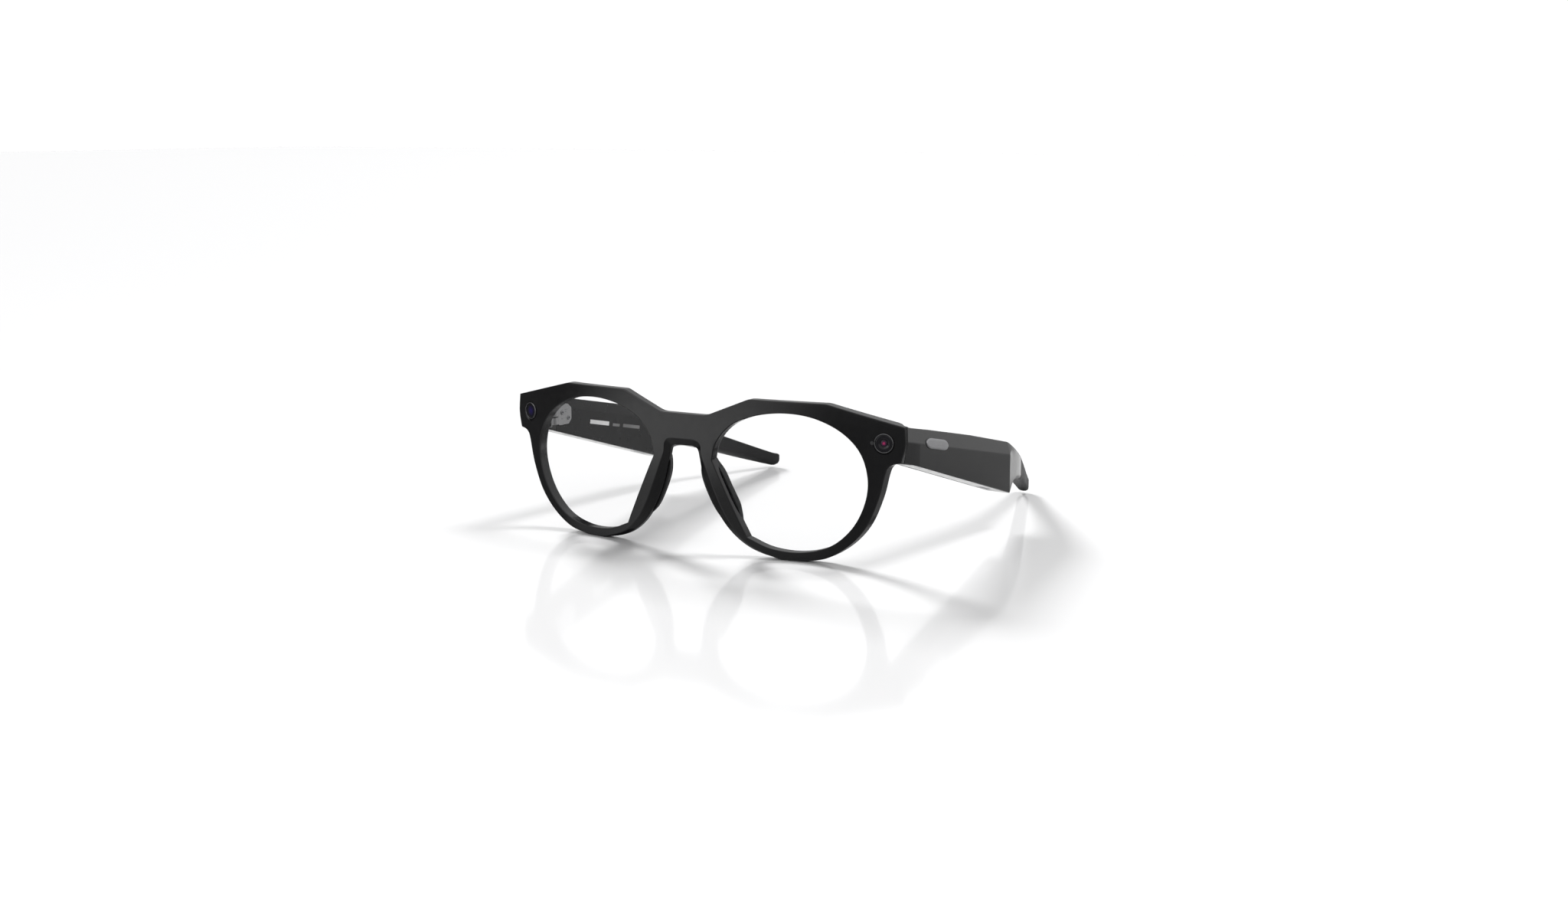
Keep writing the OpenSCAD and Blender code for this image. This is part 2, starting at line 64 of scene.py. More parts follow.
# In plan the seam runs from (TEMPLE_X, SEAM_Y) in to (MITRE_X, MITRE_Y)
SEAM_Y, SEAM_GAP, TEMPLE_X = 12.4, 0.12, 74.2
MITRE_X, MITRE_Y = 69.6, 16.8
BLOCK_T, BLOCK_END, STEM_FADE, SLEEVE_Y, TIP_END = 8, 88.5, 7, 108, 149.8
COVER_T, COVER_START, COVER_END = 1.4, 21.6, 86.5
COVER_ROWS = (30, 45, 60, 75)
CREASE_Z, CREASE_PITCH, CREASE_YAW = 39.9, math.radians(11.2), math.radians(0.6)
FACET_SLOPE = 1.6 / 5.6
SHELF, SHELF_SLOPE = 1, 2 / 10.2
EYE_X, EYE_Z = 67.8, 39.3
EYE_TURN = math.asin(EYE_X / FRONT_R)
EYE_Y = FRONT_R - math.sqrt(FRONT_R ** 2 - EYE_X ** 2 - (EYE_Z - VERTEX_Z) ** 2)

# ---- Outlines of the front's +X half, as (x, z) ----
TOP_EDGE = [(0, 44.6), (8.6, 44.6), (23.7, 50.7), (49.3, 50.6), (74, 44.4)]
TOP_SOFTNESS = {1: 1.6, 2: 0.9, 3: 0.9}
END_SIDE = [(74, 44.4), (74.2, 38.5), (73, 33.2)]
NOTCH = [(73, 33.2), (70.6, 32.7), (69, 31.4), (68.2, 29.2)]
RIM_SIDE = [(68.2, 29.2), (66.3, 21.5), (62.6, 12.9), (57, 6.4), (49.5, 1.7), (41, 0)]
NOSE_BODY = [(34.5, 0), (27.6, 1.2), (21.9, 3.5), (16.7, 7.5), (12.5, 12.8), (9.2, 18.9),
             (6.9, 25.4), (5.7, 30.8), (5, 33.2), (3.4, 34.1), (0, 34.2)]
NOSE_FACE = [(34.5, 0), (28.2, 1.9), (23.2, 4.3), (18.5, 8.6), (15, 13.9), (11.9, 20.3),
             (9, 27.2), (7.1, 31.8), (6.8, 34.8), (5, 36.3), (0, 36.5)]
OPENING = [(11.1, 30.5), (12.6, 36.2), (17.6, 41.9), (25.5, 45.4), (35.5, 46.9), (45.5, 45.9),
           (54.5, 42), (60.6, 35.8), (63, 27.5), (61.8, 19.3), (57.6, 11.5), (50.6, 5.6),
           (41, 3), (31, 3.5), (23, 6.4)]
# Places on the outer outline, and the places on the lens opening that they are joined to
ANCHORS = [((0, 44.6), (14.6, 39)), ((8.6, 44.6), (17, 41.4)), ((23.7, 50.7), (25.5, 45.4)),
           ((49.3, 50.6), (49.5, 44.5)), ((74, 44.4), (60, 36.8)), ((73, 33.2), (62.4, 31.5)),
           ((68.2, 29.2), (63, 27.5)), ((62.6, 12.9), (59.3, 14)), ((49.5, 1.7), (49, 5)),
           ((34.5, 0), (33, 3.1)), ((25, 2.1), (23, 6.4)), ((6.1, 29.2), (11.1, 30.5)),
           ((5, 33.2), (11.5, 33.4)), ((0, 34.2), (13, 36.9))]
BRIDGE_COLUMNS = 9

# ---- Temple, seen from the side as (y, z) and from above as (y, x) ----
BLOCK_TOP = [(12.4, 44.4), (30, 41.2), (60, 35.4), (88.5, 29.2)]
BLOCK_BOTTOM = [(12.4, 32.9), (18, 31.8), (88.5, 11.6)]
STEM_TOP = [(88.5, 29.2), (91.5, 28.3), (96.5, 26.1), (104, 22.9), (115, 18.3), (130, 12.3), (143, 7.2),
            (152, 3.8)]
STEM_BOTTOM = [(88.5, 11.6), (92.5, 13.6), (98, 14.5), (106, 13.3), (117, 10.2), (130, 6), (144, 1.7),
               (152, -0.5)]
STEM_OUTER = [(88.5, 75), (104, 71.6), (118.5, 66.8), (133.5, 61.4), (152, 54.8)]
STEM_INNER = [(88.5, 67), (104, 65.2), (118.5, 61.4), (133.5, 56.6), (152, 50.4)]


def place(x, y, z):
    return Vector((x, y - MIDDLE_Y, z)) * MM


# ---- Curves ----

def lerp(a, b, t):
    return tuple(p + (q - p) * t for p, q in zip(a, b))


def spline(points, steps):
    """A smooth curve through the points, first and last included."""
    ends = [lerp(points[1], points[0], 2), *points, lerp(points[-2], points[-1], 2)]
    out = []
    for i in range(len(points) - 1):
        a, b, c, d = ends[i:i + 4]
        for k in range(steps):
            t = k / steps
            out.append(tuple(
                0.5 * (2 * q + (r - p) * t + (2 * p - 5 * q + 4 * r - s) * t * t
                       + (3 * q - p - 3 * r + s) * t ** 3)
                for p, q, r, s in zip(a, b, c, d)))
    return out + [points[-1]]


def corner_curve(a, corner, b):
    """Points from a to b along a curve that leaves both sides of the corner smoothly."""
    return [lerp(lerp(a, corner, t), lerp(corner, b, t), t) for t in (0, 0.25, 0.5, 0.75, 1)]


def soften(points, corners):
    """Replaces each of the corners, index: length, by a short curve."""
    out = []
    for i, p in enumerate(points):
        if i not in corners:
            out.append(p)
            continue
        start, end = [lerp(p, q, corners[i] / math.dist(p, q)) for q in (points[i - 1], points[i + 1])]
        out += corner_curve(start, p, end)
    return out


def dense(points, step):
    """The same line with no span longer than step."""
    out = [points[0]]
    for a, b in zip(points, points[1:]):
        n = max(1, math.ceil(math.dist(a, b) / step))
        out += [lerp(a, b, k / n) for k in range(1, n + 1)]
    return out


def lookup(line, u):
    """The second coordinate of a line where its first is u."""
    if u <= line[0][0]:
        return line[0][1]
    for a, b in zip(line, line[1:]):
        if u <= b[0]:
            return a[1] + (b[1] - a[1]) * (u - a[0]) / (b[0] - a[0])
    return line[-1][1]


def side_normals(path, turn):
    """Normals of a line of (x, z) points, right of it (turn 1) or left (-1), longer at its corners."""
    spans = [Vector(b) - Vector(a) for a, b in zip(path, path[1:])]
    out = []
    for i in range(len(path)):
        sides = [v.normalized() for v in spans[max(i - 1, 0):i + 1] if v.length > 1e-9]
        d = sum(sides, Vector((0, 0)))
        n = (Vector((d.y, -d.x)) * turn).normalized()
        if len(sides) == 2:
            n /= max(0.6, math.sqrt((1 + sides[0].dot(sides[1])) / 2))
        out.append(n)
    return out


def nearest(path, p):
    return min(range(len(path)), key=lambda i: math.dist(path[i], p))


# ---- Meshes ----

def bezier(a, b, c):
    """Points of a soft corner at b between a and c."""
    spots = [k / CORNER_STEPS for k in range(CORNER_STEPS + 1)]
    return [a.lerp(b, t).lerp(b.lerp(c, t), t) for t in spots]


def shift(x, y, z):
    return Matrix.Translation((x, y, z))


def spin(angle, axis):
    return Matrix.Rotation(angle, 4, axis)


def add_object(name, data):
    thing = bpy.data.objects.new(name, data)
    bpy.context.scene.collection.objects.link(thing)
    return thing


def add_mesh(name, bm):
    """An object with the bmesh's shape. The bmesh is used up."""
    mesh = bpy.data.meshes.new(name)
    bm.to_mesh(mesh)
    bm.free()
    return add_object(name, mesh)


def paint(mesh, material):
    mesh.materials.clear()
    mesh.materials.append(material)


def dress(piece, material, sharp):
    """Smooth shading with crisp edges, and one material."""
    piece.data.shade_smooth()
    piece.data.set_sharp_from_angle(angle=math.radians(sharp))
    paint(piece.data, material)
    weighted = piece.modifiers.new("even normals", "WEIGHTED_NORMAL")
    weighted.keep_sharp = True


def finished(name, bm, body, material, replaces=(), sharp=35):
    """Turns a bmesh in metres into a piece that rides on a body."""
    bmesh.ops.remove_doubles(bm, verts=bm.verts, dist=2e-7)
    bmesh.ops.dissolve_degenerate(bm, edges=bm.edges, dist=1e-7)
    loose = [v for v in bm.verts if not v.link_faces]
    bmesh.ops.delete(bm, geom=loose, context="VERTS")
    bmesh.ops.recalc_face_normals(bm, faces=bm.faces)
    piece = add_mesh(name, bm)
    dress(piece, material, sharp)
    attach(piece, body)
    if replaces:
        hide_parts(*replaces)
    return piece


def laid(matrix, outline, height):
    """The (a, b) points of an outline, in metres, at a height over the matrix's XY plane."""
    return [matrix @ Vector((a, b, height)) * MM for a, b in outline]


def join(bm, a, b):
    """Faces between two closed rows of vertices."""
    n = len(a)
    for i in range(n):
        j = (i + 1) % n
        bm.faces.new((a[i], a[j], b[j], b[i]))


def loft(bm, rings, caps=True):
    """Joins closed rings of points, given in metres, and closes the two ends."""
    rows = [[bm.verts.new(p) for p in ring] for ring in rings]
    for a, b in zip(rows, rows[1:]):
        join(bm, a, b)
    if caps:
        bm.faces.new(rows[0][::-1])
        bm.faces.new(rows[-1])
    return rows


def lofted(rings):
    bm = bmesh.new()
    loft(bm, rings)
    return bm


def lathe(bm, profile, matrix, segments=64, closed=True):
    """A turned shape about the matrix's Z axis, from (radius, height) points; capped unless closed."""
    angles = [2 * math.pi * k / segments for k in range(segments)]
    rings = [laid(matrix, [(r * math.cos(a), r * math.sin(a)) for a in angles], h) for r, h in profile]
    rows = loft(bm, rings, caps=not closed)
    if closed:
        join(bm, rows[-1], rows[0])


def slab(bm, outline, low, high, matrix, bevel=0.0):
    """A plate with an (a, b) outline in the matrix's XY plane, from low to high, edges chamfered."""
    c = Vector((sum(p[0] for p in outline), sum(p[1] for p in outline))) / len(outline)
    levels = [(low, bevel), (low + bevel, 0), (high - bevel, 0), (high - bevel * 0.3, bevel * 0.35),
              (high, bevel)]
    rings = []
    for h, inset in levels:
        ring = []
        for p in outline:
            d = Vector(p) - c
            ring.append(c + d * (1 - inset / max(d.length, 1e-6)))
        rings.append(laid(matrix, ring, h))
    loft(bm, rings)


def pill_outline(length, width, reach=1):
    """A long round-ended outline. The ends are half circles, or ovals reaching that many times as far."""
    r = width / 2
    steps = 12
    out = []
    for sign, start in ((1, 0), (-1, math.pi)):
        for k in range(steps + 1):
            a = start + math.pi * k / steps
            out.append((r * math.cos(a), sign * (length / 2 - r * reach) + r * reach * math.sin(a)))
    return out


def domed_pill(bm, matrix, length, width, levels, reach=1):
    """A pill that narrows as it rises, by (inset, height) levels."""
    loft(bm, [laid(matrix, pill_outline(length - 2 * inset, width - 2 * inset, reach), h)
              for inset, h in levels])


def box_outline(x0, y0, x1, y1):
    return [(x0, y0), (x1, y0), (x1, y1), (x0, y1)]


def centred_box(width, length):
    return box_outline(-width / 2, -length / 2, width / 2, length / 2)


def carve(piece, cutters, sharp, operation="DIFFERENCE"):
    """Cuts, or joins, the closed shapes that each function in cutters builds."""
    piece.modifiers.clear()
    made = []
    for build in cutters:
        bm = bmesh.new()
        build(bm)
        bmesh.ops.recalc_face_normals(bm, faces=bm.faces)
        made.append(add_mesh("cutter", bm))
        cut = piece.modifiers.new("cut", "BOOLEAN")
        cut.object = made[-1]
        cut.operation = operation
        cut.solver = "EXACT"
    bpy.context.view_layer.update()
    shape = piece.evaluated_get(bpy.context.evaluated_depsgraph_get())
    mesh = bpy.data.meshes.new_from_object(shape)
    material = piece.data.materials[0]
    piece.modifiers.clear()
    piece.data = mesh
    for cutter in made:
        bpy.data.objects.remove(cutter)
    dress(piece, material, sharp)


def design(side):
    """From a local matrix's millimetres to the CAD file's millimetres, shifted to the frame."""
    return Matrix.Diagonal((side, 1, 1, 1)) @ shift(0, -MIDDLE_Y, 0)


def eye_matrix(side):
    """Origin on the front face; X outward along it, Z into the front."""
    return design(side) @ shift(EYE_X, EYE_Y, EYE_Z) @ spin(EYE_TURN, "Z") @ spin(-math.pi / 2, "X")


def block_matrix(side):
    """Origin at the crease's start; X out of the outer face, Y back along the crease, Z up."""
    turn = spin(-CREASE_YAW, "Z") @ spin(-CREASE_PITCH, "X")
    return design(side) @ shift(TEMPLE_X, SEAM_Y, CREASE_Z) @ turn


# ---- Materials ----

def feed(tree, node, inputs):
    """Gives each named input its value, or a link where the value is another node's output."""
    for name, value in inputs.items():
        if isinstance(value, bpy.types.NodeSocket):
            tree.links.new(value, node.inputs[name])
        else:
            node.inputs[name].default_value = value


def add(tree, kind, inputs):
    node = tree.nodes.new("ShaderNode" + kind)
    feed(tree, node, inputs)
    return node


def node_material(name):
    material = bpy.data.materials.new(name)
    material.use_nodes = True
    return material, material.node_tree, material.node_tree.nodes["Principled BSDF"]


def noise(tree, scale, detail=4.0, stretch=None):
    """A noise in the piece's own space, in waves per metre."""
    where = add(tree, "TexCoord", {}).outputs["Object"]
    if stretch:
        where = add(tree, "Mapping", {"Vector": where, "Scale": stretch}).outputs["Vector"]
    return add(tree, "TexNoise", {"Vector": where, "Scale": scale, "Detail": detail}).outputs["Fac"]


def ramp(tree, factor, stops):
    """Colours or grey levels along a factor, as (place, value) or (place, (r, g, b))."""
    node = add(tree, "ValToRGB", {"Fac": factor})
    points = node.color_ramp.elements
    while len(points) < len(stops):
        points.new(0.5)
    for point, (where, value) in zip(points, stops):
        point.position = where
        point.color = (*value, 1) if isinstance(value, tuple) else (value, value, value, 1)
    return node.outputs["Color"]


def vary(tree, factor, low, high):
    """Colours or levels between low and high, following a noise."""
    return ramp(tree, factor, [(0.3, low), (0.7, high)])


def bump(tree, height, strength, depth_mm):
    return add(tree, "Bump", {"Height": height, "Strength": strength,
                              "Distance": depth_mm * MM}).outputs["Normal"]


def ranged(tree, value, low, high):
    """A value turned into a share of the range from low to high."""
    return add(tree, "MapRange", {"Value": value, "From Min": low, "From Max": high}).outputs["Result"]


def vector_math(tree, kind, vector, other=(0, 0, 0)):
    node = add(tree, "VectorMath", {0: vector, 1: other})
    node.operation = kind
    return node.outputs["Vector" if kind == "NORMALIZE" else "Value"]


def plastic(name, dark, light, rough, specular, grain, coat=0.0, grain_scale=2600, bump_mm=0.004):
    """Moulded plastic: slight tone variation, a little cloudiness in its gloss, a fine grain."""
    material, tree, shader = node_material(name)
    feed(tree, shader, {
        "Base Color": vary(tree, noise(tree, 160, 3), dark, light),
        "Roughness": vary(tree, noise(tree, 420, 5), *rough),
        "Specular IOR Level": specular, "Coat Weight": coat, "Coat Roughness": 0.06,
        "Normal": bump(tree, noise(tree, grain_scale, 3), grain, bump_mm)})
    return material


def metal(name, dark, light, rough, stretch, scale=900, strength=0.25):
    """Metal with fine brushing along one direction, given by the noise's stretch."""
    material, tree, shader = node_material(name)
    brushing = noise(tree, scale, 5, stretch)
    feed(tree, shader, {
        "Base Color": vary(tree, brushing, dark, light), "Roughness": vary(tree, brushing, *rough),
        "Metallic": 1, "Normal": bump(tree, brushing, strength, 0.01)})
    return material


def radial_glass(name, centre, stops):
    """Dark coated glass, coloured by the distance from its own middle as a share of COLOUR_REACH."""
    material, tree, shader = node_material(name)
    where = add(tree, "TexCoord", {}).outputs["Object"]
    share = ranged(tree, vector_math(tree, "DISTANCE", where, centre), 0, COLOUR_REACH * MM)
    feed(tree, shader, {
        "Base Color": ramp(tree, share, stops), "Roughness": vary(tree, noise(tree, 900), 0.03, 0.054),
        "Specular IOR Level": 0.3, "Coat Weight": 0.05, "Coat Roughness": 0.02})
    return material


def clear_lens(name):
    """A thin clear plate: it lets light through and adds a faint reflection that grows at a slant."""
    material, tree, shader = node_material(name)
    slant = add(tree, "LayerWeight", {"Blend": 0.25}).outputs["Facing"]
    feed(tree, shader, {
        "Base Color": (0.04, 0.042, 0.045, 1), "Specular IOR Level": 0.5, "IOR": 1.5,
        "Roughness": vary(tree, noise(tree, 300), 0.01, 0.03),
        "Alpha": ramp(tree, slant, [(0.0, 0.015), (0.6, 0.03), (1.0, 0.4)])})
    return material


# Each plastic: darkest and lightest tone, range of roughness, specular level, strength of the grain
BLACK = plastic("black_gloss", (0.0025, 0.0025, 0.003), (0.004, 0.004, 0.0045), (0.12, 0.2), 0.4, 0.06)
COVER_BLACK = plastic("black_satin", (0.003, 0.003, 0.0035), (0.005, 0.005, 0.0055), (0.26, 0.36),
                      0.3, 0.15)
RUBBER = plastic("soft_black_rubber", (0.008, 0.008, 0.0085), (0.014, 0.014, 0.015), (0.5, 0.62),
                 0.35, 0.35, grain_scale=3400, bump_mm=0.01)
KNOB = plastic("dark_grey_plastic", (0.02, 0.02, 0.021), (0.03, 0.03, 0.031), (0.4, 0.5), 0.45, 0.3)
INNER = plastic("inner_plastic", (0.012, 0.012, 0.013), (0.02, 0.02, 0.021), (0.5, 0.6), 0.4, 0.3)
INK = plastic("printed_white", 0.62, 0.74, (0.5, 0.6), 0.3, 0.3, grain_scale=5000)
GREY_INK = plastic("printed_grey", 0.14, 0.19, (0.5, 0.6), 0.3, 0.3, grain_scale=5000)
BOARD = plastic("board_green", (0.01, 0.1, 0.04), (0.015, 0.16, 0.06), (0.35, 0.5), 0.5, 0.2)
FILM = plastic("amber_film", (0.45, 0.2, 0.03), (0.6, 0.3, 0.05), (0.3, 0.4), 0.5, 0.15)
FOIL = plastic("blue_wrap", (0.03, 0.11, 0.35), (0.05, 0.16, 0.45), (0.25, 0.4), 0.5, 0.3)
# Each metal: darkest and lightest tone, range of roughness, stretch, scale and depth of the brushing
BRUSHED = metal("brushed_steel", (0.3, 0.3, 0.31), (0.36, 0.36, 0.37), (0.3, 0.36), (4, 0.7, 4), 500, 0.03)
RING_METAL = metal("ring_steel", (0.16, 0.16, 0.165), (0.22, 0.22, 0.225), (0.24, 0.32), (3, 3, 3),
                   900, 0.1)
PLATE_METAL = metal("blasted_metal", (0.3, 0.3, 0.305), (0.36, 0.36, 0.365), (0.42, 0.5), (1, 1, 1),
                    1800, 0.1)
PART_METAL = metal("machined_metal", (0.2, 0.2, 0.21), (0.28, 0.28, 0.29), (0.3, 0.4), (1, 8, 1), 900, 0.12)
GOLD = metal("gold_plate", (0.75, 0.5, 0.18), (0.9, 0.64, 0.27), (0.18, 0.28), (1, 1, 1))
LENS = clear_lens("clear_lens")


# ---- Front ----

def front_ball(p, depth=0.0):
    return FRONT_R - math.sqrt((FRONT_R - depth) ** 2 - p[0] ** 2 - (p[1] - VERTEX_Z) ** 2)


def back_ball(p):
    return BRIDGE_T + BACK_R - math.sqrt(BACK_R ** 2 - p[0] ** 2 - (p[1] - VERTEX_Z) ** 2)


def mitre(x, gap=0.0):
    """The slanted seam between the front and a temple, in plan, moved forward by the gap."""
    return SEAM_Y - gap + (TEMPLE_X - x) * (MITRE_Y - SEAM_Y) / (TEMPLE_X - MITRE_X)


def front_end(x):
    """How far back the front may reach at x. Only the seam limits it."""
    return mitre(x, SEAM_GAP) if x >= MITRE_X else math.inf


def outer_outlines():
    """The outer outlines behind the bevel and on the face, with the same number of points."""
    body = dense(soften(TOP_EDGE, TOP_SOFTNESS), 1.3)
    for part in (END_SIDE, NOTCH, RIM_SIDE):
        body += spline(part, 8)[1:]
    body += [lerp(RIM_SIDE[-1], NOSE_BODY[0], k / 6) for k in range(1, 6)]
    return body + spline(NOSE_BODY, 6), body + spline(NOSE_FACE, 6)


OPENING_LINE = spline(OPENING, 10) + [OPENING[0]]


def matched_opening(outer):
    """For each outer point, the point of the lens opening that it is joined to, and its normal."""
    line = dense(OPENING_LINE, 0.7)
    s = [0.0]
    for a, b in zip(line, line[1:]):
        s.append(s[-1] + math.dist(a, b))
    total = s[-1]
    anchors = []
    for a, b in ANCHORS:
        where = s[nearest(line[:-1], b)]
        if anchors and where <= anchors[-1][1]:
            where += total
        anchors.append((nearest(outer, a), where))
    anchors.append((len(outer) - 1 + BRIDGE_COLUMNS, anchors[0][1] + total))
    normals = side_normals(line[-2:-1] + line + line[1:2], -1)[1:-1]
    out = []
    for i in range(len(outer) + BRIDGE_COLUMNS):
        k = max(j for j, (index, _) in enumerate(anchors) if index <= i)
        k = min(k, len(anchors) - 2)
        (i0, s0), (i1, s1) = anchors[k], anchors[k + 1]
        at = (s0 + (s1 - s0) * (i - i0) / (i1 - i0)) % total
        j = max(n for n, value in enumerate(s) if value <= at + 1e-9)
        j = min(j, len(line) - 2)
        t = (at - s[j]) / (s[j + 1] - s[j])
        out.append((lerp(line[j], line[j + 1], t), normals[j].lerp(normals[j + 1], t)))
    return out


# Every section of the front has its points in this order: opening edge, face, outer corner, back
FACE_ROWS = 7
CORNER_STEPS = 5
CORNER_POINTS = 3 * (CORNER_STEPS + 1)
FIRST_CORNER = CORNER_STEPS + FACE_ROWS
LAST_CORNER = FIRST_CORNER + CORNER_POINTS - 1
FLAT_SHARE = 0.06
UP = Vector((0, 1, 0))


def on_front(p):
    return Vector((p[0], front_ball(p), p[1]))


def on_back(p):
    return Vector((p[0], min(back_ball(p), front_end(p[0])), p[1]))


def shifted(p, n, d):
    return (p[0] + n[0] * d, p[1] + n[1] * d)


def outer_corner(face, body, n_face, n_body):
    """The outer edge: from the face over the bevel and the side to the back."""
    b = on_front(face)
    c = Vector((body[0], front_ball(body, BEVEL_DEPTH), body[1]))
    d = on_back(body)
    down = (c - b).normalized()
    points = bezier(on_front(shifted(face, n_face, OUTER_EDGE_R)), b, b + down * OUTER_EDGE_R)
    points += bezier(c - down * BEVEL_EDGE_R, c, c + UP * BEVEL_EDGE_R)
    return points + bezier(d - UP * OUTER_EDGE_R, d, on_back(shifted(body, n_body, OUTER_EDGE_R)))


def seam_corner(face, body):
    """On the middle plane the outer edge has no bevel: one place on the face and one on the back."""
    return [on_front(face)] * (CORNER_POINTS - 1) + [on_back(body)]


def flat_start(start, end):
    """The share of the way along the back where its points begin: past the seam, if it's there."""
    def beyond(share):
        q = lerp(start, end, share)
        return front_end(q[0]) < back_ball(q)

    if not beyond(0):
        return FLAT_SHARE
    share, step = 0.0, 0.5
    for _ in range(30):
        share += step if beyond(share + step) else 0
        step /= 2
    return share


def front_section(inner, n_in, corner):
    """One closed section of the front, from the lens opening round its outer corner and back."""
    a = on_front(inner)
    a_face = on_front(shifted(inner, n_in, OPENING_EDGE_R))
    e = on_back(inner)
    e_face = on_back(shifted(inner, n_in, OPENING_EDGE_R))
    points = bezier(a + UP * OPENING_EDGE_R, a, a_face)
    for k in range(1, FACE_ROWS):
        points.append(on_front(lerp((a_face.x, a_face.z), (corner[0].x, corner[0].z), k / FACE_ROWS)))
    points += corner
    start, end = (corner[-1].x, corner[-1].z), (e_face.x, e_face.z)
    first = flat_start(start, end)
    for k in range(FACE_ROWS):
        points.append(on_back(lerp(start, end, first + (1 - first) * k / FACE_ROWS)))
    return points + bezier(e_face, e, e - UP * OPENING_EDGE_R)


def half_front():
    """Sections round one lens, from the middle of the top edge back to the middle of the bridge.

    Each comes with True if it lies on the middle plane, where the two halves meet.
    """
    body, face = outer_outlines()
    opening = matched_opening(body)
    n_body, n_face = side_normals(body, 1), side_normals(face, 1)
    for n in (n_body, n_face):
        n[0], n[-1] = Vector((0, -1)), Vector((0, 1))
    sections = []
    for i in range(len(body)):
        corner = outer_corner(face[i], body[i], n_face[i], n_body[i])
        sections.append((front_section(*opening[i], corner), False))
    for k in range(BRIDGE_COLUMNS):
        ends = []
        for arch in (face[-1][1], body[-1][1]):
            span = TOP_EDGE[0][1] - 2 * OUTER_EDGE_R - arch
            ends.append((0, arch + OUTER_EDGE_R + span * (k / (BRIDGE_COLUMNS - 1))))
        sections.append((front_section(*opening[len(body) + k], seam_corner(*ends)), True))
    return sections


# A shallow dish round each eye, then the bore that its metal ring sits in
EYE_HOLE = [(3.75, -0.6), (3.38, 0.02), (3.2, 0.2), (2.98, 0.22), (2.98, 1.3)]
MICROPHONE_HOLE = [(0.45, -0.5), (0.45, 0.5)]
MICROPHONE_X = -3.95


def build_front():
    sections = half_front()
    bm = bmesh.new()
    for side in (LEFT, RIGHT):
        rows = []
        for points, seam in sections:
            row = []
            for p in points:
                x = 0.0 if abs(p.x) < 1e-4 else p.x * side
                row.append(bm.verts.new(place(x, p.y, p.z)))
            rows.append((row, seam))
        for (a, seam_a), (b, seam_b) in zip(rows, rows[1:] + rows[:1]):
            for i in range(len(a)):
                j = (i + 1) % len(a)
                if (seam_a or seam_b) and FIRST_CORNER <= i < LAST_CORNER:
                    continue
                corners = (a[i], a[j], b[j], b[i])
                bm.faces.new(corners if side == LEFT else corners[::-1])
    piece = finished("front", bm, "front", BLACK, ("front_frame", "brow_cover"), 26)
    carve(piece, [lambda bm, s=s: add_pod(bm, s) for s in (LEFT, RIGHT)], 26, "UNION")
    cuts = [lambda bm, s=s: lathe(bm, EYE_HOLE, eye_matrix(s), closed=False) for s in (LEFT, RIGHT)]
    microphone = eye_matrix(LEFT) @ shift(MICROPHONE_X, 0, 0)
    cuts.append(lambda bm: lathe(bm, MICROPHONE_HOLE, microphone, 32, closed=False))
    carve(piece, cuts, 26)


# Reach from the eye's middle inward and outward, depths of the pod's front and back, and its heights
POD_IN, POD_OUT = -5.4, 6
POD_FRONT, POD_BACK = 2.6, 4.4
POD_BOTTOM, POD_TOP = 33.8, 44
POD_SIDE_X, POD_LEVEL_X = 72.2, 73.5


def add_pod(bm, side):
    """The thicker back of an end piece, behind the camera or the light."""
    turn = shift(EYE_X, EYE_Y, 0) @ spin(EYE_TURN, "Z")
    inner_front = turn @ Vector((POD_IN, POD_FRONT, 0))
    inner_back = turn @ Vector((POD_IN, POD_BACK, 0))
    along = turn @ Vector((POD_OUT, POD_BACK, 0)) - inner_back

    def back(x):
        return inner_back.y + along.y * (x - inner_back.x) / along.x

    x = MITRE_X
    while back(x) < front_end(x):
        x += 0.03
    plan = [(inner_front.x, inner_front.y), (POD_SIDE_X, front_end(POD_SIDE_X) - 0.05),
            (x - 0.06, back(x)), (inner_back.x, inner_back.y)]
    slab(bm, plan, POD_BOTTOM, POD_TOP, design(side), 0.25)
    # The top follows the slope of the brow's last stretch, about POD_LEVEL_X
    (x0, z0), (x1, z1) = TOP_EDGE[3:]
    for v in bm.verts:
        if v.co.z > (POD_BOTTOM + POD_TOP) / 2 * MM:
            v.co.z += (z1 - z0) / (x1 - x0) * (abs(v.co.x) - POD_LEVEL_X * MM)


BROW_LINE = [(66.2, 44.4), (49, 48.8), (24.2, 48.8), (9, 42.6), (0, 42.6)]
# Across the strip: distance from its middle line, and height over the front's back
BROW_PROFILE = [(-0.72, -0.6), (-0.72, 0.0), (-0.6, 0.07), (0, 0.08), (0.6, 0.07), (0.72, 0.0), (0.72, -0.6)]


def build_brow_strip():
    """The cover of the channel along the back of the brow."""
    right = dense(soften(BROW_LINE, {1: 0.8, 2: 0.8, 3: 0.8}), 1.2)
    path = right + [(-x, z) for x, z in right[-2::-1]]
    rings = []
    for i, (p, n) in enumerate(zip(path, side_normals(path, 1))):
        width = 0.5 if i in (0, len(path) - 1) else 1.0
        ring = []
        for across, lift in BROW_PROFILE:
            q = shifted(p, n, across * width)
            ring.append(place(q[0], back_ball(q) + lift, q[1]))
        rings.append(ring)
    finished("brow_channel_cover", lofted(rings), "front", COVER_BLACK)


LENS_MIDDLE = (37.5, 25.5)
LENS_ROWS = 14


